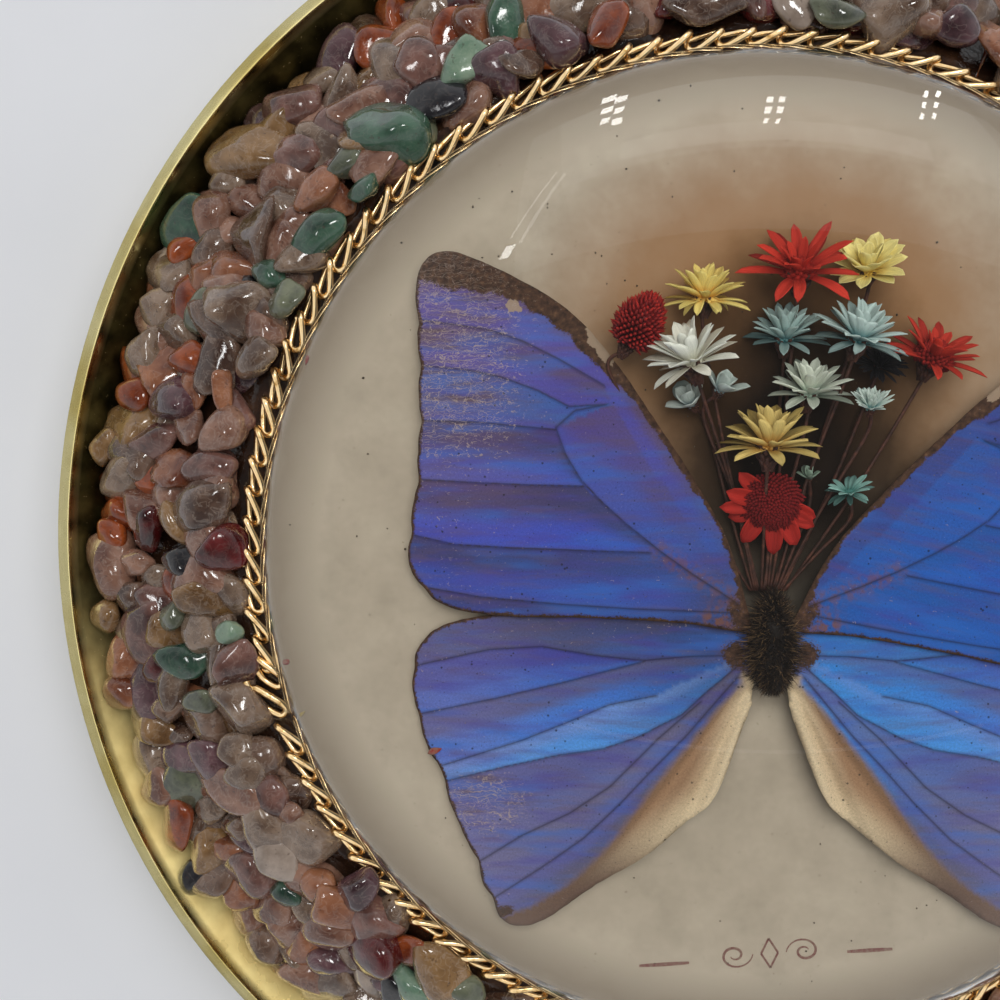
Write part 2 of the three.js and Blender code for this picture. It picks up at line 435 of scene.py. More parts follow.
def chain_metal():
    """Warm polished gold tone, a little browner where grime sits."""
    material, tree, shader = new_material("gold_chain")
    where = place_in_object(tree)
    grime = cloud(tree, where, 0.8, detail=4)
    base = shades(tree, grime, (0.3, "b58c52"), (0.42, "efcd98"), (0.8, "f9e2b8"))
    rough = ramp(tree, grime, [(0.3, 0.3), (0.6, 0.14)])
    settle(tree, shader, Base_Color=base, Metallic=1.0, Roughness=rough)
    bump(tree, shader, cloud(tree, where, 0.3), 0.02, 0.3)
    return material


def dark_glue():
    """Dark brown-amber glue with a wet surface."""
    material, tree, shader = new_material("dark_amber_glue")
    where = place_in_object(tree)
    blotch = cloud(tree, where, 4, detail=3)
    base = shades(tree, blotch, (0.3, "130c09"), (0.55, "2f1e15"), (0.8, "5a3d28"))
    settle(tree, shader, Base_Color=base, Roughness=0.16, Coat_Weight=0.6, Coat_Roughness=0.05)
    bump(tree, shader, cloud(tree, where, 0.9, detail=2), 0.4, 0.6)
    return material


# The glass's own colour, and what it takes from a lamp's light on the way to the card
GLASS_TINT = (0.985, 0.992, 0.975)
GLASS_SHADE = (0.98, 0.985, 0.97)


def glass():
    """Clear glass. A lamp's rays go through, so that they reach what is sealed under it."""
    material, tree, shader = new_material("clear_glass")
    settle(tree, shader, Base_Color=GLASS_TINT, Roughness=0.0, IOR=1.45, Transmission_Weight=1.0)
    clear = add(tree, "BsdfTransparent", Color=GLASS_SHADE)
    path = add(tree, "LightPath")
    blend = add(tree, "MixShader", Fac=path.outputs["Is Shadow Ray"])
    plug(tree, blend.inputs[1], shader.outputs[0])
    plug(tree, blend.inputs[2], clear.outputs[0])
    tree.links.new(blend.outputs[0], tree.nodes["Material Output"].inputs["Surface"])
    return material


# The card's brown halo and its dark stain, which holds painted shadow of the bouquet as well: the
# pixels at their middles, how far they reach in millimetres, and how far in metres their edges
# wander
HALO_MIDDLE = (785, 350)
SHADOW_STAIN_MIDDLE = (790, 462)
STAIN_REACH = 28
STAIN_WANDER = 0.004


def away_from(tree, where, pixel, squeeze, uneven):
    """How far a place is from a pixel's place on the card, ragged, as a share of the reach."""
    middle = at_pixel(pixel, CARD_TOP)
    offset = vector_calc(tree, "SUBTRACT", where, tuple(middle * MM))
    length = vector_calc(tree, "LENGTH", vector_calc(tree, "MULTIPLY", offset, (*squeeze, 0)))
    ragged = calc(tree, "MULTIPLY_ADD", uneven, STAIN_WANDER, length)
    return calc(tree, "MULTIPLY", ragged, 1 / (STAIN_REACH * MM))


def aged_card():
    """Cream card gone taupe, mottled, with a brown halo round the flowers and a brown edge, and a
    dark brown stain round the stems that is partly painted shadow of the bouquet.
    """
    material, tree, shader = new_material("aged_card")
    where = place_in_object(tree)
    mottle = cloud(tree, where, 5, detail=4, roughness=0.65)
    base = shades(tree, mottle, (0.3, "b1a493"), (0.5, "bbad9c"), (0.72, "c5b8a6"))
    outer = away_from(tree, where, HALO_MIDDLE, (0.9, 1), mottle)
    halo = ramp(tree, outer, [(0.36, 0.97), (0.58, 0.78), (0.9, 0.0)])
    base = mix(tree, halo, base, colour("9f734b"))
    # Dark stain between the wings: partly a real stain, partly the painted shadow of the bouquet and its
    # stems.
    inner = away_from(tree, where, SHADOW_STAIN_MIDDLE, (1.18, 0.78), mottle)
    stain = ramp(tree, inner, [(0.26, 0.98), (0.44, 0.84), (0.72, 0.0)])
    base = mix(tree, stain, base, colour("150d09"))
    edge = calc(tree, "MULTIPLY_ADD", mottle, STAIN_WANDER, from_axis(tree, where))
    rim = ramp(tree, calc(tree, "MULTIPLY", edge, 20.0), [(0.85, 0.0), (0.93, 1.0)])
    base = stained(tree, base, rim, "665440", 0.6)
    specks = ramp(tree, cloud(tree, where, 0.35, detail=2), [(0.70, 0.0), (0.76, 1.0)])
    base = stained(tree, base, specks, "6a553f", 0.35)
    settle(tree, shader, Base_Color=base, Roughness=0.85, Specular_IOR_Level=0.25)
    return material


def plain_print(name, code):
    """Faded ink or a flake, uneven in tone."""
    material, tree, shader = new_material(name)
    where = place_in_object(tree)
    fade = cloud(tree, where, 0.35, detail=3)
    base = mix(tree, ramp(tree, fade, [(0.35, 0.0), (0.7, 0.6)]), colour(code), colour("a89a86"))
    settle(tree, shader, Base_Color=base, Roughness=0.8)
    return material


# Tumbled stones: what each mineral looks like, how strong the pale veils inside are, and how the
# brown glue round the stones takes light from them, as shares of red, green and blue

VEIL_SHARE = 0.2
WARMTH = (0.66, 0.55, 0.48)

MINERALS = {
    "clear_quartz": {"dark": "7a6253", "light": "dccbb9", "clear": 0.5},
    "rose_quartz": {"dark": "7c5548", "light": "cca897", "clear": 0.3},
    "mauve_quartz": {"dark": "523a3a", "light": "a07c76", "clear": 0.12},
    "amethyst": {"dark": "3f2a34", "light": "7d5f6c", "clear": 0.12},
    "smoky_quartz": {"dark": "574138", "light": "ab9485", "clear": 0.35},
    "citrine": {"dark": "785a35", "light": "c9a97a", "clear": 0.35},
    "peach_agate": {"dark": "764430", "light": "c08c6c", "clear": 0.12},
    "carnelian": {"dark": "6a2c14", "light": "bb6431", "clear": 0.0},
    "garnet": {"dark": "2c0d0e", "light": "73262a", "clear": 0.0},
    "aventurine": {"dark": "1f3d36", "light": "52806f", "clear": 0.0},
    "mint_stone": {"dark": "5f8f7f", "light": "98bdab", "clear": 0.0},
    "grey_green": {"dark": "4b5750", "light": "84947f", "clear": 0.0},
    "white_stone": {"dark": "958f89", "light": "cbc7c2", "clear": 0.0},
    "dark_stone": {"dark": "101116", "light": "2b2d38", "clear": 0.0},
}


def warmed(code):
    """A stone's colour as it looks among its neighbours, in linear numbers."""
    return tuple(part * share for part, share in zip(colour(code), WARMTH))


def tumbled_stone(name, look):
    """Polished cloudy stone with a tone of its own for each chip, and a painted glow of light through
    the stone that makes it paler towards its rim.
    """
    material, tree, shader = new_material("stone_" + name)
    grain = stored(tree, "grain", "Vector")
    dark, light = warmed(look["dark"]), warmed(look["light"])
    clouds = cloud(tree, grain, 2.4, detail=4)
    contrast = calc(tree, "MULTIPLY_ADD", clouds, 2.6, -1.1)
    share = calc(tree, "MULTIPLY_ADD", stored(tree, "tone"), 0.45, contrast)
    base = mix(tree, share, dark, light)
    tree.nodes[-1].clamp_factor = True
    # Painted light: the chip is paler near its rim, for light that passes through the stone.
    thin = calc(tree, "MULTIPLY", stored(tree, "thin"), 0.35 + 0.4 * look["clear"])
    base = mix(tree, thin, base, light)
    veil = add(tree, "TexNoise", Vector=grain, Scale=1 / (1.3 * MM), Detail=3.0, Distortion=1.1)
    veils = ramp(tree, veil.outputs["Fac"], [(0.46, 0.0), (0.5, 1.0), (0.53, 0.0)])
    base = stained(tree, base, veils, "efe0d2", VEIL_SHARE * (0.15 + 1.8 * look["clear"]))
    pits = ramp(tree, cloud(tree, grain, 0.5, detail=2), [(0.3, 1.0), (0.36, 0.0)])
    base = stained(tree, base, pits, "3a2721", 0.45)
    settle(
        tree,
        shader,
        Base_Color=base,
        Roughness=ramp(tree, clouds, [(0.35, 0.08), (0.7, 0.24)]),
        IOR=1.54,
        Transmission_Weight=look["clear"],
        Coat_Weight=1.0,
        Coat_Roughness=0.05,
    )
    bump(tree, shader, cloud(tree, grain, 0.9, detail=2), 0.16, 0.45)
    return material


# Dish. Its wall is painted dark on one side, as a painted dark reflection, and a dull bright gold on
# another, as painted light.

DARK_REFLECTION_SIDE = math.radians(145)
LIT_SIDE = math.radians(248)


def dish_lines():
    """The outer and inner lines of the dish, from the foot to the lip, as (radius, z)."""
    foot = np.array([RIM_RADIUS - WALL_INSET, WALL_FOOT_HEIGHT])
    corner = np.array([foot[0] - 2.4, 0])
    start = np.array([FOOT_RADIUS, 0])
    steps = np.linspace(0, 1, 14)[:, None]
    cove = (1 - steps) ** 2 * start + 2 * steps * (1 - steps) * corner + steps**2 * foot
    top = np.array([RIM_RADIUS - LIP_WIDTH * 0.6, RIM_HEIGHT - 0.9])
    wall = foot + (top - foot) * np.linspace(0.15, 1, 6)[:, None]
    outer = np.vstack([cove, wall])
    inner = outer[::-1] + [-SHEET * 0.8, SHEET * 0.6]
    inner[-1][1] = SHEET
    return outer, inner


def rounded_lip():
    """The lip's line: a small hem, then a flat band that slopes outwards, rounded into the wall."""
    edge, top = RIM_RADIUS, RIM_HEIGHT
    hem = np.array([[edge - 0.25, top - 1.05], [edge - 0.03, top - 0.92], [edge, top - 0.45]])
    band = np.array([[edge - 0.06, top - 0.34], [edge - 1.02, top - 0.09]])
    fold = np.array([[edge - 1.1, top - 0.01], [edge - 1.2, top], [edge - 1.28, top - 0.1]])
    return np.vstack([hem, band, fold])


def towards(points, heading):
    """How squarely each point lies on the side of the axis that the heading names, up to 1."""
    along = points[:, 0] * math.cos(heading) + points[:, 1] * math.sin(heading)
    return along / np.maximum(np.hypot(points[:, 0], points[:, 1]), 1)


def dish():
    outer, inner = dish_lines()
    underside = [
        [0, 0],
        [FOOT_RING[0], 0],
        [FOOT_RING[1], FOOT_RING_DEPTH],
        [FOOT_RADIUS - 2, FOOT_RING_DEPTH],
        [FOOT_RADIUS - 1.2, 0],
    ]
    profile = np.vstack([underside, outer, rounded_lip(), inner, [[0, SHEET]]])
    points, faces = turned(profile, DISH_SEGMENTS, closed=False)
    radius = np.hypot(points[:, 0], points[:, 1])
    is_wall = (radius > FOOT_RADIUS) & (radius < RIM_RADIUS - 1.5) & (points[:, 2] > 1)
    is_wall[: len(points) - (len(inner) + 1) * DISH_SEGMENTS] = False
    values = {
        # Painted dark reflection on one side of the wall, painted light on another
        "painted_dark_reflection": smooth(towards(points, DARK_REFLECTION_SIDE), 0.1, 0.7) * is_wall,
        "painted_lit_side": smooth(towards(points, LIT_SIDE), 0.35, 0.75) * is_wall,
    }
    piece = place("spun_dish", points, faces, gold_metal(), ["dish"], "gold_tone_metal", values, 50)
    merge_poles(piece)
    return piece


# Glue, between and under the chips


def bed_height(radius):
    """The height of the glue bed's slope, which the chips lie on."""
    share = (radius - SEAT_RADIUS) / (BED_EDGE_RADIUS - SEAT_RADIUS)
    return SEAT_HEIGHT + (BED_EDGE_HEIGHT - SEAT_HEIGHT) * share


def lumps(points, size, seed, octaves=3):
    """Smooth made-up heights from -1 to 1, from sums of waves in fixed directions."""
    waves = np.random.default_rng(seed)
    total = np.zeros(len(points))
    weight = 1.0
    for _ in range(octaves):
        for _ in range(4):
            heading = waves.uniform(0, 2 * np.pi)
            along = points[:, 0] * np.cos(heading) + points[:, 1] * np.sin(heading)
            pace = 2 * np.pi / size * waves.uniform(0.7, 1.3)
            total += weight * np.sin(along * pace + waves.uniform(0, 6))
        size /= 2
        weight /= 2
    return total / 5


def glue():
    _, inner = dish_lines()
    wall = inner[inner[:, 1] < BED_EDGE_HEIGHT + 0.3][::-1] + [-0.02, 0.02]
    slope_radius = np.linspace(wall[-1][0], SEAT_RADIUS - 0.4, 40)
    slope = np.stack([slope_radius, bed_height(slope_radius) + 0.1], axis=1)
    slope[-1][1] = SEAT_HEIGHT
    profile = np.vstack([[[0, SHEET + 0.05]], wall, slope, [[0, SEAT_HEIGHT - 0.02]]])
    points, faces = turned(profile, GLUE_SEGMENTS, closed=False)
    radius = np.hypot(points[:, 0], points[:, 1])
    is_slope = (radius > SEAT_RADIUS) & (radius < BED_EDGE_RADIUS) & (points[:, 2] > BED_EDGE_HEIGHT - 1)
    points[:, 2] += np.where(is_slope, lumps(points, 6.5, 5) * 0.4, 0)
    piece = place("glue_fill", points, faces, dark_glue(), ["glue_bed"], "clear_brown_glue")
    merge_poles(piece)


# Chips. The stones that stand out are placed by the pixel at their middle, with how wide and how
# tall they look in the photograph, in pixels, and the slant of their long side in degrees.

MARKED_CHIPS = [
    ("aventurine", (390, 130), 88, 65, -10),
    ("mauve_quartz", (293, 105), 70, 55, 0),
    ("clear_quartz", (340, 95), 50, 44, 20),
    ("citrine", (255, 155), 105, 60, -15),
    ("clear_quartz", (228, 178), 40, 36, 0),
    ("smoky_quartz", (257, 232), 78, 62, 65),
    ("rose_quartz", (212, 215), 60, 46, 50),
    ("peach_agate", (316, 192), 55, 48, 30),
    ("aventurine", (315, 235), 72, 42, 30),
    ("grey_green", (350, 160), 50, 42, 20),
    ("aventurine", (363, 190), 36, 30, 0),
    ("mint_stone", (467, 67), 52, 46, 80),
    ("carnelian", (185, 247), 46, 34, 20),
    ("peach_agate", (205, 275), 50, 40, 0),
    ("aventurine", (270, 275), 42, 34, 10),
    ("grey_green", (285, 300), 46, 34, 40),
    ("clear_quartz", (163, 303), 58, 40, 70),
    ("grey_green", (203, 312), 52, 40, 20),
    ("clear_quartz", (257, 355), 52, 42, 10),
    ("carnelian", (190, 358), 46, 38, 0),
    ("clear_quartz", (150, 352), 60, 40, 60),
    ("carnelian", (135, 395), 40, 38, 0),
    ("amethyst", (173, 398), 56, 54, 0),
    ("peach_agate", (225, 395), 46, 34, 60),
    ("mauve_quartz", (155, 440), 62, 40, 10),
    ("rose_quartz", (222, 430), 54, 46, 20),
    ("citrine", (105, 447), 44, 34, 80),
    ("clear_quartz", (122, 475), 66, 46, 30),
    ("mauve_quartz", (210, 468), 60, 36, -10),
    ("smoky_quartz", (200, 508), 92, 54, 25),
    ("carnelian", (113, 540), 46, 36, 80),
    ("garnet", (147, 528), 54, 34, 75),
    ("rose_quartz", (138, 563), 38, 30, 0),
    ("dark_stone", (182, 562), 48, 36, 10),
    ("garnet", (223, 550), 56, 46, 60),
    ("smoky_quartz", (130, 597), 44, 34, 20),
    ("citrine", (104, 616), 48, 38, 10),
    ("grey_green", (173, 615), 40, 32, 50),
    ("aventurine", (188, 660), 58, 42, 20),
    ("mint_stone", (230, 632), 30, 26, 0),
    ("mauve_quartz", (235, 665), 60, 44, 70),
    ("garnet", (160, 665), 48, 30, 60),
    ("grey_green", (200, 700), 44, 32, 0),
    ("peach_agate", (120, 690), 52, 44, 10),
    ("citrine", (152, 728), 70, 38, -5),
    ("amethyst", (187, 757), 76, 36, 5),
    ("clear_quartz", (240, 750), 44, 38, 0),
    ("rose_quartz", (160, 785), 56, 46, 20),
    ("rose_quartz", (235, 787), 90, 46, 0),
    ("carnelian", (180, 817), 60, 48, 60),
    ("smoky_quartz", (240, 826), 46, 38, 0),
    ("white_stone", (280, 850), 60, 52, 80),
    ("dark_stone", (197, 880), 54, 42, 80),
    ("peach_agate", (243, 893), 56, 44, 70),
    ("aventurine", (288, 893), 40, 38, 0),
    ("peach_agate", (318, 885), 42, 34, 0),
    ("amethyst", (357, 890), 52, 40, 60),
    ("rose_quartz", (330, 930), 66, 48, 20),
    ("garnet", (372, 950), 70, 60, 20),
    ("smoky_quartz", (265, 945), 52, 46, 0),
    ("rose_quartz", (305, 972), 56, 44, 10),
    ("mint_stone", (418, 985), 60, 44, 0),
    ("grey_green", (465, 990), 44, 34, 0),
    ("aventurine", (507, 20), 62, 50, 70),
    ("amethyst", (558, 40), 62, 58, 0),
    ("carnelian", (605, 28), 56, 38, 70),
    ("smoky_quartz", (705, 8), 84, 34, 0),
    ("grey_green", (836, 14), 56, 34, 0),
    ("amethyst", (955, 28), 50, 44, 20),
    ("carnelian", (378, 48), 56, 46, 60),
    ("mauve_quartz", (420, 65), 52, 58, 60),
    ("clear_quartz", (432, 8), 50, 36, 0),
    ("smoky_quartz", (522, 65), 46, 36, 0),
]

# How common each mineral is among the chips that aren't marked
COMMON = {
    "clear_quartz": 20,
    "rose_quartz": 20,
    "mauve_quartz": 13,
    "amethyst": 6,
    "smoky_quartz": 16,
    "citrine": 8,
    "peach_agate": 10,
    "carnelian": 5,
    "garnet": 3,
    "aventurine": 2,
    "grey_green": 3,
    "white_stone": 1,
    "dark_stone": 2,
}

CHIP_COUNT = 560
LOWER_CHIP_COUNT = 210
CHIP_SIZE = 5.9
CHIP_FLATS = 18
CHIP_FLATNESS = 0.78
CHIP_LIFT = 2.1
HEIGHT_GUESS = 11.0
SPOT_TRIES = 40
PIXELS_PER_MM = 10.6

# The side that the photograph shows, where the upper chips have a finer mesh
FINE_SIDE = (math.radians(75), math.radians(250))

# The upper and the lower layer: how far the middles keep from the seat and from the dish's wall,
# the least and most of a chip's length as a share of CHIP_SIZE, and of its height over the bed
UPPER_LAYER = (1.7, 1.3, (0.72, 1.25), (0.9, 1.8))
LOWER_LAYER = (1.2, 0.6, (0.8, 1.1), (0.0, 0.6))


def unit_sphere(level):
    shape = bmesh.new()
    bmesh.ops.create_icosphere(shape, subdivisions=level, radius=1)
    points = np.array([v.co for v in shape.verts])
    faces = np.array([[v.index for v in f.verts] for f in shape.faces])
    shape.free()
    return points, faces


def tumbled(directions):
    """A chip with worn flats: how far its surface is from its middle, by direction."""
    normals = rng.normal(size=(CHIP_FLATS, 3))
    normals /= np.linalg.norm(normals, axis=1)[:, None]
    depths = rng.uniform(0.84, 1.06, CHIP_FLATS)
    reach = np.maximum(directions @ normals.T, 0.02) / depths
    power = rng.uniform(4.5, 7.5)
    points = directions * ((reach**power).sum(axis=1) ** (-1 / power))[:, None]
    dent = lumps(points + rng.uniform(0, 9), 1.3, int(rng.integers(1000)), 2)
    return points * (1 + 0.05 * dent)[:, None]


def kept_in_dish(points):
    """The points, with what would cut into the dish's wall pressed back inside it."""
    inner = dish_lines()[1][::-1]
    radius = np.hypot(points[:, 0], points[:, 1])
    room = np.interp(points[:, 2], inner[:, 1], inner[:, 0]) - 0.1
    share = np.minimum(radius, room) / radius
    return points * np.column_stack([share, share, np.ones(len(points))])


def add_chip(heaps, sphere, mineral, centre, size, heading, lean):
    """One chip, lying along the bed's slope with its long side at the heading."""
    points = tumbled(sphere[0])
    low, high = points.min(axis=0), points.max(axis=0)
    points = (points - (low + high) / 2) / (high - low) * size
    out = centre[:2] / np.linalg.norm(centre[:2])
    fall = math.atan2(SEAT_HEIGHT - BED_EDGE_HEIGHT, BED_EDGE_RADIUS - SEAT_RADIUS)
    up = Vector((out[0] * math.sin(fall), out[1] * math.sin(fall), math.cos(fall)))
    up = (up + Vector(lean)).normalized()
    long_side = Vector((math.cos(heading), math.sin(heading), 0))
    long_side = (long_side - up * long_side.dot(up)).normalized()
    axes = np.array([long_side, up.cross(long_side), up])
    heaps.setdefault(mineral, Heap()).add(
        kept_in_dish(points @ axes + centre),
        sphere[1],
        grain=points * MM + rng.uniform(-1, 1, 3),
        tone=float(rng.uniform(0, 1)),
        # How near the chip's rim a point lies, for the painted glow of light through the stone
        thin=smooth(np.linalg.norm(points[:, :2] / (size[:2] / 2), axis=1), 0.72, 1.0),
    )


def chip_rest(pixel):
    """Where the chip at a pixel lies: on the bed's slope, or a little over the dish's wall."""
    height = HEIGHT_GUESS
    for _ in range(4):
        spot = at_pixel(pixel, height)
        radius = np.linalg.norm(spot[:2])
        height = bed_height(min(radius, BED_EDGE_RADIUS - 0.8)) + CHIP_LIFT
    return np.array([*spot[:2], height])


def spread_spots(count, taken, low, high):
    """Random places round the ring, each the best of several tries at keeping its distance."""
    spots = [np.array(t) for t in taken]
    new = []
    for _ in range(count):
        angle = rng.uniform(0, 2 * np.pi, SPOT_TRIES)
        radius = np.sqrt(rng.uniform(low**2, high**2, SPOT_TRIES))
        tries = np.stack([radius * np.cos(angle), radius * np.sin(angle)], axis=1)
        if spots:
            gaps = np.linalg.norm(tries[:, None] - np.array(spots)[None], axis=2).min(axis=1)
            choice = tries[gaps.argmax()]
        else:
            choice = tries[0]
        spots.append(choice)
        new.append(choice)
    return new


def is_fine(spot):
    angle = math.atan2(spot[1], spot[0]) % (2 * np.pi)
    return FINE_SIDE[0] < angle < FINE_SIDE[1]


def chips():
    fine, plain = unit_sphere(4), unit_sphere(3)
    heaps = {}
    marked = []
    for mineral, pixel, wide, tall, slant in MARKED_CHIPS:
        centre = chip_rest(pixel)
        marked.append(centre[:2])
        size = np.array([wide, tall, tall * CHIP_FLATNESS]) / PIXELS_PER_MM
        lean = rng.normal(0, 0.1, 3)
        add_chip(heaps, fine, mineral, centre, size, math.radians(slant), lean)
    names = list(COMMON)
    odds = np.array([COMMON[n] for n in names]) / sum(COMMON.values())
    layers = [(CHIP_COUNT - len(marked), marked, UPPER_LAYER), (LOWER_CHIP_COUNT, [], LOWER_LAYER)]
    for count, taken, (from_seat, from_wall, sizes, lifts) in layers:
        for spot in spread_spots(count, taken, SEAT_RADIUS + from_seat, BED_EDGE_RADIUS - from_wall):
            long_side = CHIP_SIZE * rng.uniform(*sizes)
            size = np.array([1, rng.uniform(0.68, 0.95), rng.uniform(0.5, 0.7)]) * long_side
            centre = np.array([*spot, bed_height(np.linalg.norm(spot)) + rng.uniform(*lifts)])
            mineral = names[rng.choice(len(names), p=odds)]
            sphere = fine if is_fine(spot) and taken else plain
            heading = rng.uniform(0, np.pi)
            add_chip(heaps, sphere, mineral, centre, size, heading, rng.normal(0, 0.22, 3))
    pieces = []
    for mineral, heap in heaps.items():
        points, faces, values = heap.joined()
        finish = tumbled_stone(mineral, MINERALS[mineral])
        name = "chips_" + mineral
        pieces.append(place(name, points, faces, finish, ["gem_chips"], "tumbled_stone", values))
    return pieces


# Curb chain

LINK_COUNT = 105
LINK_LENGTH = 3.5
LINK_WIDTH = 1.4
LINK_TWIST = math.radians(30)
LINK_ROLL = 50
LINK_SLANT = math.radians(20)
LINK_POINTS = 28
WIRE_RADIUS = 0.32
WIRE_SIDES = 10


def link_line():
    """The middle line of a twisted link, along X."""
    half = LINK_WIDTH / 2
    straight = LINK_LENGTH - LINK_WIDTH
    length = 2 * straight + np.pi * LINK_WIDTH
    line = []
    for at in np.arange(LINK_POINTS) / LINK_POINTS * length:
        if at < straight:
            line.append((at - straight / 2, -half))
        elif at < straight + np.pi * half:
            turn = (at - straight) / half - np.pi / 2
            line.append((straight / 2 + half * math.cos(turn), half * math.sin(turn)))
        elif at < 2 * straight + np.pi * half:
            line.append((straight / 2 - (at - straight - np.pi * half), half))
        else:
            turn = (at - 2 * straight - np.pi * half) / half + np.pi / 2
            line.append((-straight / 2 + half * math.cos(turn), half * math.sin(turn)))
    line = np.array(line)
    twist = -LINK_TWIST * line[:, 0] / (LINK_LENGTH / 2)
    return np.stack([line[:, 0], line[:, 1] * np.cos(twist), line[:, 1] * np.sin(twist)], axis=1)


# Where the chain's ends are joined: two bent links and the spare end of their wire, as pixels
JOINT_MIDDLE = (268, 684)
JOINT_LINKS = [
    [(255, 655), (268, 664), (280, 673), (284, 681), (277, 687), (265, 681), (257, 671), (251, 661)],
    [(256, 687), (270, 694), (283, 702), (287, 709), (281, 715), (268, 709), (258, 700), (252, 692)],
]
SPARE_END = [(247, 680), (251, 691), (256, 702), (263, 714)]
JOINT_WIRE = 0.34


def joint(heap):
    for pixels in JOINT_LINKS:
        flat = spline([at_pixel(p, CHAIN_HEIGHT)[:2] for p in pixels], 5, closed=True)
        turn = np.arange(len(flat)) / len(flat) * 2 * np.pi
        height = CHAIN_HEIGHT + 0.2 + 0.4 * np.cos(turn - 0.8)
        heap.add(*tube(np.column_stack([flat, height]), JOINT_WIRE, WIRE_SIDES, closed=True))
    spare = spline([at_pixel(p, CHAIN_HEIGHT) + [0, 0, 0.4] for p in SPARE_END], 5)
    heap.add(*tube(spare, JOINT_WIRE, WIRE_SIDES))


def chain():
    heap = Heap()
    line = link_line()
    joint(heap)
    joint_at = at_pixel(JOINT_MIDDLE, CHAIN_HEIGHT)
    joint_angle = math.atan2(joint_at[1], joint_at[0]) % (2 * np.pi)
    for number in range(LINK_COUNT):
        angle = number / LINK_COUNT * 2 * np.pi
        if abs(angle - joint_angle) < 2 * np.pi / LINK_COUNT:
            continue
        roll = math.radians(rng.normal(LINK_ROLL, 5))
        heading = angle + np.pi / 2 + LINK_SLANT + rng.normal(0, 0.04)
        lie = Matrix.Rotation(heading, 3, "Z") @ Matrix.Rotation(roll, 3, "X")
        centre = [CHAIN_RADIUS * np.cos(angle), CHAIN_RADIUS * np.sin(angle), CHAIN_HEIGHT]
        heap.add(*tube(line @ np.array(lie).T + centre, WIRE_RADIUS, WIRE_SIDES, closed=True))
    points, faces, _ = heap.joined()
    return place("curb_chain_links", points, faces, chain_metal(), ["curb_chain"], "gold_chain")


# Card with its printed mark


def card():
    radii = np.linspace(0, CARD_RADIUS, 24)
    lower, upper = (np.stack([radii, 0 * radii + z], axis=1) for z in (SEAT_HEIGHT, CARD_TOP))
    points, faces = turned(np.vstack([lower, upper[::-1]]), CARD_SEGMENTS, closed=False)
    piece = place("aged_card", points, faces, aged_card(), ["backing_card"], "aged_card", sharp=40)
    merge_poles(piece)
    return piece


# Glass dome


def pillow_line(radius, rise, edge_height, steps=44):
    """The section of the glass from its foot to its middle: a short wall, a round shoulder and
    a nearly flat top."""
    turn = np.arange(1, steps + 1) / steps * np.pi / 2
    share = np.cos(turn) ** 0.7
    height = (1 - share**3.2) ** (1 / 1.9)
    heights = GLASS_BASE + edge_height + (rise - edge_height) * height
    curve = np.stack([radius * share, heights], axis=1)
    curve[-1][0] = 0
    wall = np.array([[radius, GLASS_BASE], [radius, GLASS_BASE + edge_height]])
    return np.vstack([wall, curve])


def glass_dome():
    rise = GLASS_TOP - GLASS_BASE
    outside = pillow_line(GLASS_RADIUS, rise, GLASS_EDGE)
    inside = pillow_line(GLASS_RADIUS - FOOT_THICKNESS, rise - GLASS_THICKNESS, GLASS_EDGE / 2)
    points, faces = turned(np.vstack([inside[::-1], outside]), GLASS_SEGMENTS, closed=False)
    piece = place("pillow_glass", points, faces, glass(), ["glass_dome"], "clear_glass", sharp=60)
    merge_poles(piece)
    return piece


# Butterfly. A wing is drawn as the left one, in millimetres outwards from the body's mid-line and
# forwards from its centre. Veins are read from the photograph as pixels on the left wings.

WING_DROOP = math.radians(3.4)
WING_DROP = {"forewing": 0.0, "hindwing": 0.5}
WING_SHEET = 0.14
# Painted sheen: how much the wing's colours are raised, most in blue, for the light the scales reflect
BLUE_SHEEN_GAIN = np.array([0.95, 1.2, 1.45])
WING_ROOT = np.array([2.5, 2.3])
RIGHT_FOREWING_TURN = math.radians(13)

# The wing's net: the steps along its edge, along its veins and between, and the lines of points
# beside each vein, in millimetres
EDGE_STEP = 0.28
VEIN_STEP = 0.3
NET_STEP = 0.42
VEIN_RAILS = (-0.3, -0.12, 0, 0.12, 0.3)

FOREWING_OUTLINE = [
    (2.4, 3.4), (4.2, 9.4), (7.4, 15.1), (11.6, 21.5), (15.6, 27.1), (19.6, 30.9), (25.2, 34.0),
    (29.4, 35.5), (31.7, 34.4), (32.4, 31.4), (32.2, 25.5), (32.2, 19.1), (32.6, 13.4), (33.3, 8.8),
    (32.5, 5.2), (29.4, 2.9), (24.0, 2.1), (15.5, 2.0), (8.0, 1.6), (2.4, 1.0),
]
HINDWING_OUTLINE = [
    (2.3, 1.3), (9.0, 2.0), (15.5, 2.4), (22.0, 2.3), (27.2, 1.9), (31.2, 0.4), (33.0, -3.0),
    (32.3, -7.9), (30.9, -12.0), (29.3, -15.9), (27.4, -20.2), (25.8, -24.4), (24.0, -26.9),
    (20.9, -26.5), (16.9, -23.9), (12.1, -20.7), (7.6, -17.1), (5.0, -14.4), (3.0, -9.6),
    (1.7, -5.6), (1.8, -2.0),
]

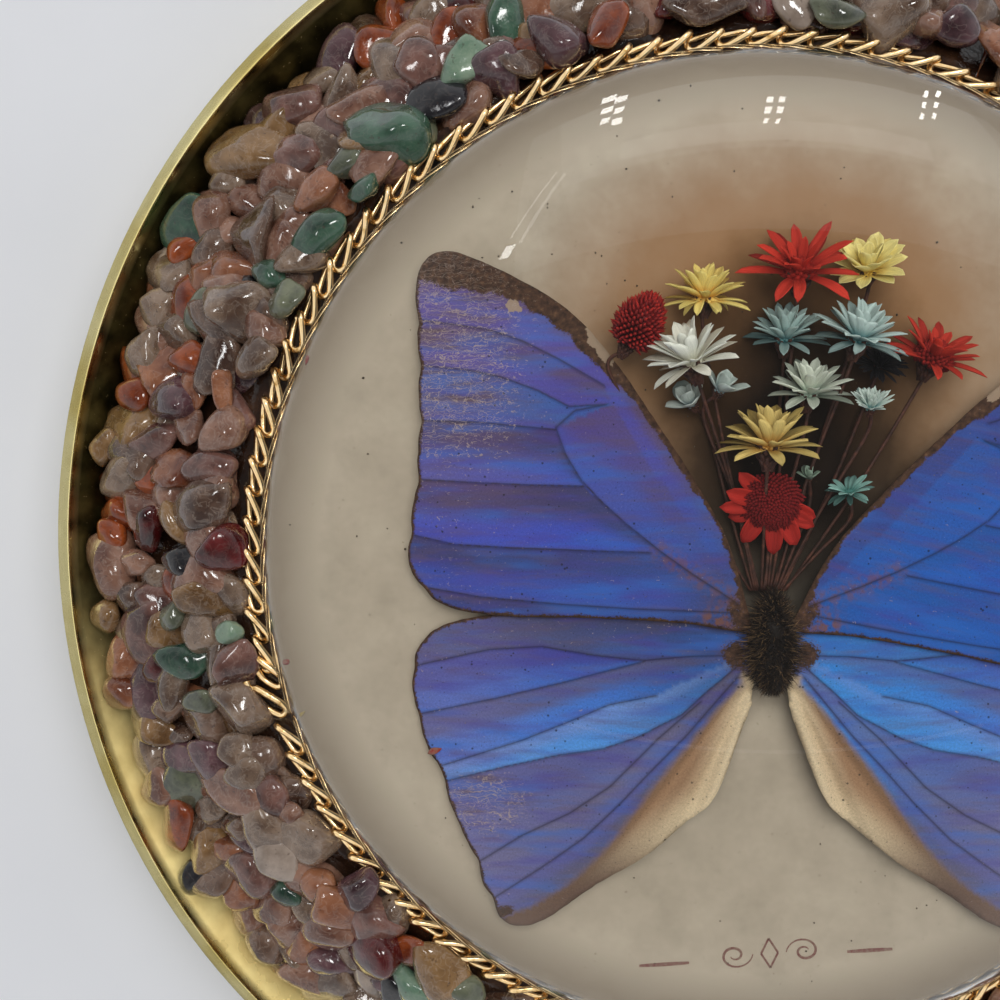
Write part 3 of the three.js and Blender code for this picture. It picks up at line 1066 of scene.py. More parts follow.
CELL_REAR = [(737, 603), (691, 573), (660, 551), (625, 523), (602, 502), (581, 480), (566, 455), (556, 428)]
CELL_FRONT = [(733, 590), (700, 540), (668, 494), (640, 450), (614, 405)]
CELL_END = [(556, 428), (575, 411), (606, 405)]
FOREWING_VEINS = [
    [(604, 386), (559, 360), (523, 342), (490, 331), (456, 326), (415, 321)],
    [(606, 405), (569, 407), (538, 391), (502, 378), (469, 371), (415, 366)],
    [(556, 430), (523, 427), (482, 423), (415, 421)],
    [(582, 486), (533, 485), (482, 483), (412, 479)],
    [(648, 552), (584, 550), (508, 547), (456, 544), (408, 533)],
    [(737, 612), (635, 608), (558, 603), (482, 596), (424, 586)],
]
HINDWING_TRUNK = [(735, 654), (690, 655), (643, 659)]
HINDWING_VEINS = [
    [(643, 659), (594, 654), (543, 645), (490, 648), (426, 662), (408, 668)],
    [(643, 660), (609, 669), (559, 682), (495, 697), (426, 711), (408, 716)],
    [(655, 694), (609, 703), (566, 721), (523, 738), (456, 759), (440, 764)],
    [(735, 666), (706, 690), (681, 713), (635, 736), (604, 746), (558, 753), (507, 764), (445, 779)],
    [(700, 700), (658, 736), (610, 784), (571, 810), (523, 832), (475, 861)],
    [(735, 677), (686, 733), (655, 764), (622, 799), (584, 835), (546, 861), (523, 876), (490, 897)],
]
FOLD_EDGE = [
    (738, 684), (716, 706), (690, 737), (668, 763), (648, 789), (625, 820), (604, 846), (584, 866),
    (564, 882), (533, 901), (500, 915),
]

# The upper and the lower colour of each stretch between veins, from the front to the rear
FOREWING_RAYS = [
    ("684a6b", "5c4b98"),
    ("634a6f", "544798"),
    ("61487d", "50529e"),
    ("483a60", "4853a8"),
    ("4a3d61", "454fae"),
    ("46406c", "4450a0"),
    ("4a416c", "43467e"),
]
HINDWING_RAYS = [
    # The first stretch, under the forewing's rear margin, is dark with painted shade from the forewing.
    ("4d4562", "554e6d"),
    ("4b4890", "4a69b4"),
    ("686086", "4f7cc6"),
    ("7a92c6", "629ad6"),
    ("6a618e", "76698c"),
    ("7b6b84", "71678f"),
    ("6a6190", "6a5d74"),
]


def wing_height(outwards, kind):
    return BODY[2] + 0.25 - WING_DROP[kind] - outwards * math.tan(WING_DROOP)


def on_wing(pixels, kind):
    """Where the left wing has these pixels: (outwards, ahead) of the body's centre."""
    line = []
    for pixel in pixels:
        height = BODY[2]
        for _ in range(4):
            spot = at_pixel(pixel, height)
            height = wing_height(BODY[0] - spot[0], kind)
        line.append((BODY[0] - spot[0], spot[1] - BODY[1]))
    return np.array(line)


def resampled(line, step):
    """The same line with points about that far apart."""
    lengths = np.linalg.norm(np.diff(line, axis=0), axis=1)
    reach = np.concatenate([[0], np.cumsum(lengths)])
    at = np.linspace(0, reach[-1], max(int(reach[-1] / step), 2) + 1)
    return np.stack([np.interp(at, reach, line[:, 0]), np.interp(at, reach, line[:, 1])], axis=1)


def notched(outline, ends):
    """The outline with a shallow notch where each vein ends, and a slightly worn edge."""
    for end in ends:
        gap = np.linalg.norm(outline - end, axis=1)
        inwards = WING_ROOT - outline
        inwards /= np.linalg.norm(inwards, axis=1)[:, None]
        outline = outline + inwards * (0.38 * np.exp(-((gap / 1.0) ** 2)))[:, None]
    wear = lumps(outline, 1.6, 9)
    middle = outline - outline.mean(axis=0)
    return outline + middle / np.linalg.norm(middle, axis=1)[:, None] * wear[:, None] * 0.07


def inside(points, outline):
    """Which points lie inside a closed outline."""
    result = np.zeros(len(points), bool)
    for a, b in zip(outline, np.roll(outline, -1, axis=0)):
        crosses = (a[1] > points[:, 1]) != (b[1] > points[:, 1])
        at = a[0] + (points[:, 1] - a[1]) / (b[1] - a[1] + 1e-12) * (b[0] - a[0])
        result ^= crosses & (points[:, 0] < at)
    return result


def wing_net(outline, veins):
    """Points and triangles of a flat wing, finer along its veins and its edge."""
    edge = resampled(np.vstack([outline, outline[:1]]), EDGE_STEP)[:-1]
    low, high = outline.min(axis=0), outline.max(axis=0)
    columns = np.arange(low[0], high[0], NET_STEP)
    rows = np.arange(low[1], high[1], NET_STEP * 0.87)
    grid = np.array([(c + (i % 2) * NET_STEP / 2, r) for i, r in enumerate(rows) for c in columns])
    grid += rng.uniform(-0.05, 0.05, grid.shape)
    rails = []
    for vein in veins:
        line = resampled(vein, VEIN_STEP)
        along = np.gradient(line, axis=0)
        across = np.stack([-along[:, 1], along[:, 0]], axis=1)
        across /= np.linalg.norm(across, axis=1)[:, None]
        rails += [line + across * gap for gap in VEIN_RAILS]
    rails = np.vstack(rails)
    far = distance_to(grid, np.vstack([edge, edge[:1]])) > 0.2
    near_rail = np.zeros(len(grid), bool)
    for vein in veins:
        near_rail |= distance_to(grid, vein) < 0.36
    loose = np.vstack([grid[far & ~near_rail], rails])
    clear = distance_to(loose, np.vstack([edge, edge[:1]])) > 0.12
    loose = loose[inside(loose, edge) & clear]
    every = [Vector(p) for p in np.vstack([edge, loose])]
    net = delaunay_2d_cdt(every, [], [list(range(len(edge)))], 1, 1e-4)
    points = np.array([tuple(p) for p in net[0]])
    faces = np.array([f for f in net[2] if len(f) == 3])
    return points, faces


def extended(line, trunk):
    """A vein with the part of its trunk between it and the wing's root."""
    line, trunk = by_outwards(line), by_outwards(trunk)
    return np.vstack([trunk[trunk[:, 0] < line[0][0] - 0.1], line])


def ray_colours(points, lines, colours):
    """Colour by the stretch between two veins: from the upper colour to the lower one."""
    heights = np.array([np.interp(points[:, 0], line[:, 0], line[:, 1]) for line in lines])
    above = (heights > points[None, :, 1]).sum(axis=0)
    above = np.clip(above, 1, len(lines) - 1)
    which = np.arange(len(points))
    top, bottom = heights[above - 1, which], heights[above, which]
    share = np.clip((top - points[:, 1]) / np.maximum(top - bottom, 0.05), 0, 1)
    upper = np.array([colour(c[0]) for c in colours])[above - 1]
    lower = np.array([colour(c[1]) for c in colours])[above - 1]
    turn = smooth(share, 0.28, 0.72)[:, None]
    return upper + (lower - upper) * turn, share, above - 1


def with_painted_sheen(base):
    """Painted sheen: the blue light that the scales reflect is painted into their colour, which is raised
    most in blue.
    """
    return np.clip(base * BLUE_SHEEN_GAIN, 0, 1)


def blended(base, share, code):
    return base + (np.array(colour(code)) - base) * np.asarray(share)[:, None]


def by_outwards(line):
    """The line's points from the wing's root outwards."""
    return line[np.argsort(line[:, 0])]


def near(points, middle, low, high, squeeze=(1, 1)):
    """1 round a point, and 0 from the high distance on. The squeeze makes it an oval."""
    return 1 - smooth(np.linalg.norm((points - middle) / squeeze, axis=1), low, high)


def slanted(points, middle, slant):
    """Where points are, as seen from the middle, along two slanted lines."""
    return (points - middle) @ np.array(slant)


def plain(points, code):
    return np.tile(colour(code), (len(points), 1))


def forewing_blues(points, from_root, is_right):
    """The forewing's blues and violets, stretch by stretch, before it is worn, with painted sheen that
    differs between the right and the left wing.
    """
    veins = [on_wing(v, "forewing") for v in FOREWING_VEINS]
    rear, front = on_wing(CELL_REAR, "forewing"), on_wing(CELL_FRONT, "forewing")
    lines = [by_outwards(np.array(FOREWING_OUTLINE[:8]))]
    lines += [extended(v, front) for v in veins[:2]] + [extended(v, rear) for v in veins[2:5]]
    lines += [extended(veins[5], rear[:1]), by_outwards(np.array(FOREWING_OUTLINE[14:])[::-1])]
    base, share, gap = ray_colours(points, lines, FOREWING_RAYS)
    end_a, end_b = on_wing([(556, 428), (610, 405)], "forewing")
    in_cell = (gap == 2) & (np.cross(end_b - end_a, points - end_a) < 0)
    cell = blended(plain(points, "42609f"), smooth(share, 0.72, 0.95) * 0.8, "4d3f92")
    base = np.where(in_cell[:, None], cell, base)
    base = blended(base, (1 - smooth(from_root, 6, 22)) * 0.55, "3a589c")
    base = blended(base, (1 - smooth(from_root, 2, 9)) * 0.7, "45405a")
    # Painted sheen: the right forewing is bluer and more azure than the left, and its front stretches more
    # violet.
    if is_right:
        base = blended(base, np.where(in_cell, 0.95, 0.72), "1b60ac")
        base = blended(base, 0.7 * (gap < 2), "45437a")
    else:
        rubbed = (1 - smooth(32.5 - points[:, 0], 4, 16)) * smooth(points[:, 1], 7, 15)
        base = blended(base, 0.32 * rubbed, "8f6580")
    return with_painted_sheen(base)


# How wide the forewing's brown front edge is: how far outwards, and the width there
BROWN_EDGE = ([2, 13, 15.5, 17, 24, 29, 32.5], [0.35, 0.65, 1.5, 1.7, 1.9, 3.2, 3.4])


def forewing_look(points, outline, is_right):
    """Colours of a forewing and how brown, pale, worn or rusty each place is."""
    from_root = np.linalg.norm(points - WING_ROOT, axis=1)
    base = forewing_blues(points, from_root, is_right)
    to_costa = distance_to(points, spline(FOREWING_OUTLINE[:8], 6))
    width = np.interp(points[:, 0], *BROWN_EDGE)
    ragged = lumps(points, 2.2, 3) * 0.35
    brown = 1 - smooth(to_costa + ragged * np.minimum(width, 1), width * 0.75, width * 1.25)
    to_edge = distance_to(points, np.vstack([outline, outline[:1]]))
    brown = np.maximum(brown, 0.85 * (1 - smooth(to_edge + ragged * 0.3, 0.12, 0.5)))
    brown = np.maximum(brown, 0.75 * (1 - smooth(from_root + ragged * 2, 0.6, 2.9)))
    patch_at, spot_at, rust_at = on_wing([(600, 346), (514, 307), (715, 622)], "forewing")
    rough = lumps(points, 0.9, 31)
    patch = np.linalg.norm(slanted(points, patch_at, [[0.8, 0.5], [-0.5, 0.8]]) / [0.75, 2.3], axis=1)
    spot = np.linalg.norm(slanted(points, spot_at, [[0.9, -0.4], [0.4, 0.9]]) / [1.0, 0.55], axis=1)
    pale = 1 - smooth(0.3 * rough + patch, 0.6, 1.15)
    pale = np.maximum(pale, 1 - smooth(spot + 0.45 * rough, 0.6, 1.1))
    near_margin = 1 - smooth(32.5 - points[:, 0], 3, 15)
    worn = near_margin * smooth(points[:, 1], 14, 22) + 0.35 * near_margin
    rust = (1 - smooth(distance_to(points, on_wing(CELL_REAR[:3], "forewing")), 0.3, 1.5)) * 0.5
    rust = np.maximum(rust, 0.8 * near(points, rust_at, 0.8, 2.4))
    return base, brown, pale, np.maximum(worn, 0.12), rust, np.zeros(len(points))


def hindwing_blues(points, lines, from_root, is_right):
    """The hindwing's blues, mauves and azure, stretch by stretch, before it is worn, with painted sheen
    that differs between the right and the left wing.
    """
    base, share, gap = ray_colours(points, lines, HINDWING_RAYS)
    azure = (1 - smooth(from_root, 5, 20)) * np.isin(gap, (0, 1, 2, 3, 6)) * smooth(share, 0.1, 0.5)
    # Painted sheen: the right hindwing is more azure than the left.
    if is_right:
        base = blended(base, azure * 0.6, "3f90cc")
        base = blended(base, 0.35 * (1 - smooth(from_root, 10, 26)), "3c86cb")
    else:
        base = blended(base, azure * 0.45, "2c589f")
    base = blended(base, 0.4 * smooth(points[:, 0], 17, 31), "8c7ba8")
    # Painted sheen: the left hindwing is duller towards its root than the right one.
    if not is_right:
        base = base * (0.68 + 0.32 * smooth(from_root, 3, 13))[:, None]
    return with_painted_sheen(base)


def hindwing_look(points, outline, is_right):
    """The same for a hindwing, whose inner margin is a bare tan fold."""
    veins = [on_wing(v, "hindwing") for v in HINDWING_VEINS]
    trunk, fold_edge = on_wing(HINDWING_TRUNK, "hindwing"), on_wing(FOLD_EDGE, "hindwing")
    root, fold_line = trunk[:1], by_outwards(fold_edge)
    lines = [np.array(HINDWING_OUTLINE[:6]), extended(veins[0], trunk)]
    lines.append(extended(veins[1], trunk - [0, 0.05]))
    lines += [extended(v, root - [0, 0.3 * (k + 1)]) for k, v in enumerate(veins[2:])]
    from_root = np.linalg.norm(points - root, axis=1)
    base = hindwing_blues(points, [*lines, fold_line], from_root, is_right)
    fold_at = np.interp(points[:, 1], fold_line[::-1, 1], fold_line[::-1, 0])
    fold = smooth((fold_at - points[:, 0]) * 0.75, -0.25, 0.35) * (points[:, 1] < -3)
    to_edge = distance_to(points, np.vstack([outline, outline[:1]]))
    tan = blended(plain(points, "ad8768"), 1 - smooth(to_edge, 0.3, 3.4), "f2dab6")
    tan = blended(tan, smooth(-points[:, 1], 15, 24), "745a4d")
    tan = blended(tan, (1 - smooth(np.abs(fold_at - points[:, 0]), 0.3, 1.6)) * 0.5, "7a5c49")
    base = base + (tan - base) * fold[:, None]
    ragged = lumps(points, 2.0, 4)
    brown = 0.9 * (1 - smooth(to_edge + ragged * 0.1, 0.1, 0.45)) * (points[:, 0] > 12)
    tail = 1 - smooth(np.linalg.norm(points - [24.5, -27.0], axis=1) + ragged * 0.3, 1.0, 2.6)
    brown = np.maximum(brown, tail * 0.9) * (1 - fold)
    brown = np.maximum(brown, 0.75 * (1 - smooth(from_root + ragged * 0.7, 0.5, 2.6)))
    worn = 1.1 * near(points, on_wing([(487, 800)], "hindwing"), 1.5, 4.5, (1.4, 1.0))
    worn = np.maximum(worn, 0.28 * (1 - smooth(to_edge, 1, 6)))
    worn = np.maximum(worn, 0.1) * (1 - fold)
    return base, brown, np.zeros(len(points)), worn, 0.3 * near(points, root, 0.5, 2.5), fold


def wing(name, kind, is_right, finish):
    """One wing as a thin curved sheet with raised veins."""
    is_fore = kind == "forewing"
    outline = spline(FOREWING_OUTLINE if is_fore else HINDWING_OUTLINE, 12, closed=True)
    veins = [on_wing(v, kind) for v in (FOREWING_VEINS if is_fore else HINDWING_VEINS)]
    outline = notched(outline, [v[-1] for v in veins])
    if is_fore:
        veins += [on_wing(CELL_REAR, kind), on_wing(CELL_END, kind)]
    else:
        veins += [on_wing(HINDWING_TRUNK, kind)]
    points, faces = wing_net(outline, veins)
    look = forewing_look if is_fore else hindwing_look
    base, brown, pale, worn, rust, fold = look(points, outline, is_right)
    to_vein = np.full(len(points), 1e9)
    for vein in veins:
        to_vein = np.minimum(to_vein, distance_to(points, vein))
    ridge = np.exp(-((to_vein / 0.12) ** 2))
    spread = np.hypot(points[:, 0], points[:, 1])
    wave = lumps(points, 14, 12) * 0.12
    pleats = fold * 0.3 * np.sin(np.arctan2(points[:, 1] + 2, points[:, 0] - 1) * 34)
    rise = 0.04 * ridge - 0.06 * smooth(to_vein, 0.2, 2.5) + wave * smooth(spread, 3, 12) + pleats
    turned_points = points
    if is_fore and is_right:
        cosine, sine = math.cos(RIGHT_FOREWING_TURN), math.sin(RIGHT_FOREWING_TURN)
        spin = np.array([[cosine, -sine], [sine, cosine]])
        turned_points = (points - WING_ROOT) @ spin + WING_ROOT
    side = 1 if is_right else -1
    x = BODY[0] + side * turned_points[:, 0]
    y = BODY[1] + turned_points[:, 1]
    z = wing_height(turned_points[:, 0], kind) + rise
    if is_right:
        faces = faces[:, ::-1]
    if not is_facing_up(np.stack([x, y], axis=1), faces):
        faces = faces[:, ::-1]
    values = {
        "tint": base,
        "wear": np.stack([brown, pale, worn], axis=1),
        "marks": np.stack([ridge, rust, fold], axis=1),
        "spot": np.column_stack([points, np.zeros(len(points))]) * MM,
    }
    points = np.stack([x, y, z], axis=1)
    name_and_mesh = (name + "_sheet", points, faces)
    return place(*name_and_mesh, finish, [name], "blue_wing", values, thickness=WING_SHEET)


def is_facing_up(flat, faces):
    a, b, c = (flat[faces[:, k]] for k in range(3))
    return np.cross(b - a, c - a).sum() > 0


def wing_top():
    """Blue scales that have rubbed off in places, over brown, with dark veins and fine cracks."""
    material, tree, shader = new_material("blue_wing_scales")
    spot = stored(tree, "spot", "Vector")
    wear = add(tree, "SeparateXYZ", Vector=stored(tree, "wear", "Vector"))
    marks = add(tree, "SeparateXYZ", Vector=stored(tree, "marks", "Vector"))
    brown, pale, worn = wear.outputs
    ridge, rust, fold = marks.outputs
    scales = cloud(tree, spot, 0.2, detail=2, roughness=0.7)
    patches = cloud(tree, spot, 1.8, detail=2)
    base = stored(tree, "tint", "Color")
    base = mix(tree, 1.0, base, ramp(tree, scales, [(0.3, 0.72), (0.7, 1.0)]), "MULTIPLY")
    base = stained(tree, base, ramp(tree, patches, [(0.45, 0.0), (0.7, 0.3)]), "6a5a70", worn)
    base = mix(tree, fold, streaked(tree, spot, base, worn), base)
    dots = add(tree, "TexVoronoi", Vector=spot, Scale=1 / (0.9 * MM))
    dark_dots = ramp(tree, dots.outputs["Distance"], [(0.1, 1.0), (0.14, 0.0)])
    sparse = ramp(tree, cloud(tree, spot, 2.2, detail=1), [(0.48, 0.0), (0.56, 1.0)])
    dark_dots = calc(tree, "MULTIPLY", dark_dots, sparse)
    base = stained(tree, base, dark_dots, "14121c", 0.75)
    specks = add(tree, "TexVoronoi", Vector=spot, Scale=1 / (0.55 * MM))
    fine_dots = ramp(tree, specks.outputs["Distance"], [(0.08, 1.0), (0.13, 0.0)])
    base = stained(tree, base, fine_dots, "231c2b", 0.5)
    rusty = ramp(tree, cloud(tree, spot, 0.7), [(0.42, 0.0), (0.58, 1.0)])
    base = stained(tree, base, rusty, "7d5038", rust)
    base = stained(tree, base, ridge, "1f1826", 0.72)
    grainy = calc(tree, "SUBTRACT", scales, 0.5)
    edge = calc(tree, "MULTIPLY_ADD", grainy, 1.1, brown)
    is_brown = ramp(tree, edge, [(0.36, 0.0), (0.6, 1.0)])
    soil = shades(tree, cloud(tree, spot, 0.5, detail=3), (0.3, "2e1e17"), (0.6, "543a2b"), (0.8, "7d5b43"))
    base = mix(tree, is_brown, base, soil)
    bare = ramp(tree, calc(tree, "MULTIPLY_ADD", grainy, 0.9, pale), [(0.38, 0.0), (0.52, 1.0)])
    base = stained(tree, base, bare, "a8917c", 0.9)
    faint = calc(tree, "MULTIPLY_ADD", is_brown, -0.55, 1.0)
    base = stained(tree, base, cracks(tree, spot, worn), "b8a49a", faint)
    tint = add(tree, "SeparateXYZ", Vector=specks.outputs["Color"])
    flake = calc(tree, "MULTIPLY", fine_dots, calc(tree, "GREATER_THAN", tint.outputs["X"], 0.5))
    scatter = ramp(tree, patches, [(0.5, 0.0), (0.6, 1.0)])
    flake = calc(tree, "MULTIPLY", flake, scatter)
    base = stained(tree, base, flake, "c3b4b4", calc(tree, "MULTIPLY_ADD", worn, 0.9, 0.12))
    dull = calc(tree, "MAXIMUM", is_brown, fold)
    rough = calc(tree, "MULTIPLY_ADD", dull, 0.3, 0.42)
    settle(tree, shader, Base_Color=base, Roughness=rough, Specular_IOR_Level=0.45)
    return material


def streaked(tree, spot, base, worn):
    """Long soft streaks where the scales look more violet, more azure or greyer."""
    drawn = vector_calc(tree, "MULTIPLY", spot, (0.28, 1.7, 1))
    violet = ramp(tree, cloud(tree, drawn, 2.2, detail=3), [(0.48, 0.0), (0.7, 0.5)])
    base = mix(tree, violet, base, colour("4c3f9e"))
    shifted = vector_calc(tree, "ADD", drawn, (0.03, 0.05, 0.02))
    azure = ramp(tree, cloud(tree, shifted, 3.0, detail=3), [(0.5, 0.0), (0.72, 0.55)])
    base = mix(tree, azure, base, colour("2f70cf"))
    shifted = vector_calc(tree, "ADD", drawn, (0.07, 0.01, 0.04))
    bare = ramp(tree, cloud(tree, shifted, 1.3, detail=4), [(0.5, 0.0), (0.7, 0.75)])
    return stained(tree, base, bare, "67515c", calc(tree, "MULTIPLY_ADD", worn, 0.7, 0.35))


def cracks(tree, spot, worn):
    """A net of pale hairlines and short scratches, only where the wing is worn."""
    bent = vector_calc(tree, "MULTIPLY", spot, (0.45, 1.5, 1))
    swirl = add(tree, "TexNoise", Vector=spot, Scale=1 / (1.1 * MM), Detail=3.0)
    shift = add(tree, "VectorMath", {"operation": "MULTIPLY_ADD"}, Vector=swirl.outputs["Color"])
    shift.inputs[1].default_value = (0.0022, 0.0014, 0)
    plug(tree, shift.inputs[2], bent)
    total = None
    for size, width in ((1.1, 0.022), (0.5, 0.034)):
        net = add(tree, "TexVoronoi", {"feature": "DISTANCE_TO_EDGE"}, Vector=shift.outputs[0])
        net.inputs["Scale"].default_value = 1 / (size * MM)
        line = ramp(tree, net.outputs["Distance"], [(width * 0.4, 1.0), (width, 0.0)])
        gap = cloud(tree, spot, size * 0.8, detail=2)
        limit = calc(tree, "MULTIPLY_ADD", worn, 0.3, calc(tree, "SUBTRACT", gap, 0.72))
        line = calc(tree, "MULTIPLY", line, ramp(tree, limit, [(0.0, 0.0), (0.06, 1.0)]))
        total = line if total is None else calc(tree, "MAXIMUM", total, line)
    return calc(tree, "MULTIPLY", total, 0.7)


def wing_under():
    """The brown underside."""
    material, tree, shader = new_material("brown_wing_underside")
    where = place_in_object(tree)
    base = shades(tree, cloud(tree, where, 1.5, detail=5), (0.35, "4a3527"), (0.7, "8a6c50"))
    settle(tree, shader, Base_Color=base, Roughness=0.75)
    return material


def fur():
    """Brown-black fur with lighter tips."""
    material, tree, shader = new_material("dark_fur")
    tone = stored(tree, "tone")
    base = shades(tree, tone, (0.0, "0f0b0a"), (0.5, "33251d"), (1.0, "a5825c"))
    where = place_in_object(tree)
    base = mix(tree, 1.0, base, ramp(tree, cloud(tree, where, 0.3), [(0.3, 0.6), (0.7, 1.0)]), "MULTIPLY")
    settle(tree, shader, Base_Color=base, Roughness=0.6)
    return material


# Thorax and head: a lumpy core under thousands of thin hairs

HAIR_COUNT = 3400
HAIR_HALF_WIDTH = 0.045
HAIR_SIDES = [[0, 1, 4, 3], [1, 2, 5, 4], [2, 0, 3, 5]]
HAIR_ENDS = [[3, 4, 6, 6], [4, 5, 6, 6], [5, 3, 6, 6], [0, 2, 1, 1]]


def add_hair(heap):
    """A three-sided hair that leaves the thorax or the head at a random place."""
    direction = rng.normal(size=3)
    direction[2] = abs(direction[2]) * 0.9 - 0.25
    direction /= np.linalg.norm(direction)
    root = BODY + direction * BODY_HALF * [0.78 - 0.25 * max(direction[1], 0), 0.88, 0.78]
    sweep = direction * [1.1, 0.6, 0.6] + [0, -0.25, 0] + rng.normal(0, 0.42, 3)
    sweep /= np.linalg.norm(sweep)
    sideways = abs(direction[0])
    length = rng.uniform(0.4, 1.1) + 2.1 * sideways**2 * rng.uniform(0, 1) ** 2
    middle = root + sweep * length * 0.55
    tip = root + sweep * length + [0, 0, -0.25 * length]
    across = np.cross(sweep, rng.normal(size=3))
    across *= HAIR_HALF_WIDTH / np.linalg.norm(across)
    other = np.cross(sweep, across)
    corners = np.array([across, other - across * 0.5, -other - across * 0.5])
    points = np.vstack([root + corners, middle + corners * 0.6, tip])
    shade = np.clip(rng.normal(0.3, 0.25) + 0.6 * sideways**2 * rng.uniform(0, 1), 0, 1)
    tones = [shade * 0.6] * 3 + [shade] * 3 + [min(shade * 1.4, 1)]
    heap.add(points, HAIR_SIDES + HAIR_ENDS, tone=np.array(tones))


def butterfly_body():
    core, core_faces = unit_sphere(4)
    core = core * BODY_HALF * [0.72, 0.9, 0.8]
    ahead = core[:, 1] / BODY_HALF[1]
    core[:, 0] *= 1 - 0.3 * smooth(ahead, 0.1, 0.8) - 0.22 * np.exp(-(((ahead - 0.5) / 0.13) ** 2))
    core *= (1 + 0.18 * lumps(core, 2.6, 21))[:, None]
    heap = Heap()
    heap.add(core + BODY, core_faces, tone=0.12)
    for _ in range(HAIR_COUNT):
        add_hair(heap)
    points, faces, values = heap.joined()
    return place("furry_thorax", points, faces, fur(), ["butterfly_body"], "dark_fur", values)


# Dried flowers. Each flower says which way it faces: its heading in the picture plane, with 90 as
# straight ahead of the butterfly, and its tilt towards the viewer. A whorl is how many petals,
# how long, how wide, and how far they open at the foot and at the tip, in degrees from the axis.
# Lengths are shares of the head's radius. The last whorl below goes only part of the way round.

STAR = [
    (10, 1.1, 0.28, 80, 96),
    (10, 1.06, 0.29, 56, 62),
    (9, 0.96, 0.28, 34, 38),
    (6, 0.8, 0.26, 12, 16),
]
LOTUS = [
    (8, 1.14, 0.3, 84, 100),
    (10, 1.12, 0.32, 63, 72),
    (10, 1.04, 0.33, 42, 44),
    (7, 0.9, 0.3, 18, 20),
]
CUP = [(11, 1.12, 0.42, 74, 70), (10, 1.04, 0.44, 48, 42), (8, 0.85, 0.38, 26, 16)]
SPIKY = [(9, 1.12, 0.24, 76, 90), (9, 1.02, 0.24, 46, 54), (6, 0.6, 0.2, 22, 30)]
HALF_OPEN = [(4, 1.3, 0.85, 62, 44), (3, 1.15, 0.8, 24, 10)]
FRINGE = [(22, 1.12, 0.2, 58, 52), (20, 1.05, 0.2, 36, 30), (14, 0.9, 0.18, 14, 8)]
TUFT = [(26, 1.2, 0.2, 66, 84), (24, 1.15, 0.2, 42, 54), (18, 1.0, 0.18, 16, 26)]
HANGING = (10, 0.72, 0.24, 112, 150)
LOWER_RING = (11, 1.14, 0.42, 70, 92, (150, 400))

# Which way each flower faces, its whorls, its colours at the petals' foot, at their tip and on their
# far side, which is painted shade on petals turned down towards the card, and what else it has: a cone
# or a disc of florets, with how wide and how tall it is and how many points it has, or how much the
# backs of the outer petals have gone dark.
FLOWERS = {
    "red_cone": ((62, 20), [], ("6a0d13", "c32c22", "4c0a0f"), {"cone": (0.72, 1.9, 360)}),
    "pale_low": ((128, 30), HALF_OPEN, ("8ea3ad", "d6e0dc", "5f706c"), {}),
    "white": ((112, 18), LOTUS, ("e6e4d2", "fbfcf3", "a88f6e"), {"back": 0.5}),
    "pale_high": ((64, 28), HALF_OPEN, ("8ba1ab", "cfdcd8", "5c6c68"), {}),
    "yellow_left": ((92, 15), LOTUS + [HANGING], ("e8a425", "ffe88c", "b98c33"), {}),
    "ochre": ((90, 14), LOTUS, ("d8a046", "eccf80", "75591f"), {"back": 0.5}),
    "red_disc": ((250, 70), [LOWER_RING], ("5c0a14", "c02d24", "5a0f17"), {"disc": (0.72, 0.42, 380)}),
    "teal_left": ((92, 22), STAR, ("42868d", "c6e0de", "0f3a40"), {"back": 0.9}),
    "red_top": ((98, 42), SPIKY, ("8f1813", "d13a2b", "6a0f0e"), {"disc": (0.26, 0.22, 60)}),
    "white_teal": ((90, 20), LOTUS, ("b9cfc0", "eef4e6", "49564a"), {"back": 0.8}),
    "yellow_right": ((104, 44), CUP, ("e3b836", "fff0a2", "b9983c"), {}),
    "teal_right": ((80, 22), LOTUS, ("4a959d", "d2e7e5", "1c4347"), {"back": 0.8}),
    "green_bud": ((96, 20), HALF_OPEN, ("4f6056", "93a898", "3a423a"), {}),
    "white_teal_small": ((94, 34), FRINGE, ("6fb0b4", "e4f2ec", "3c6d71"), {}),
    "black": ((80, 50), TUFT, ("070708", "1a181c", "030303"), {}),
    "teal_small": ((100, 28), STAR[:2], ("3d857f", "9fcdc6", "0f3634"), {"back": 0.9}),
    "red_right": ((74, 30), SPIKY, ("7a1214", "cf3c2d", "6c1513"), {"disc": (0.42, 0.4, 160)}),
}

GOLDEN_TURN = math.pi * (3 - math.sqrt(5))
LOWEST_PETAL = 0.06
HIGHEST_PETAL = 21.1
STEM_THICKNESS = 0.3
PETAL_SHEET = 0.05
BRACT_COUNT = 30


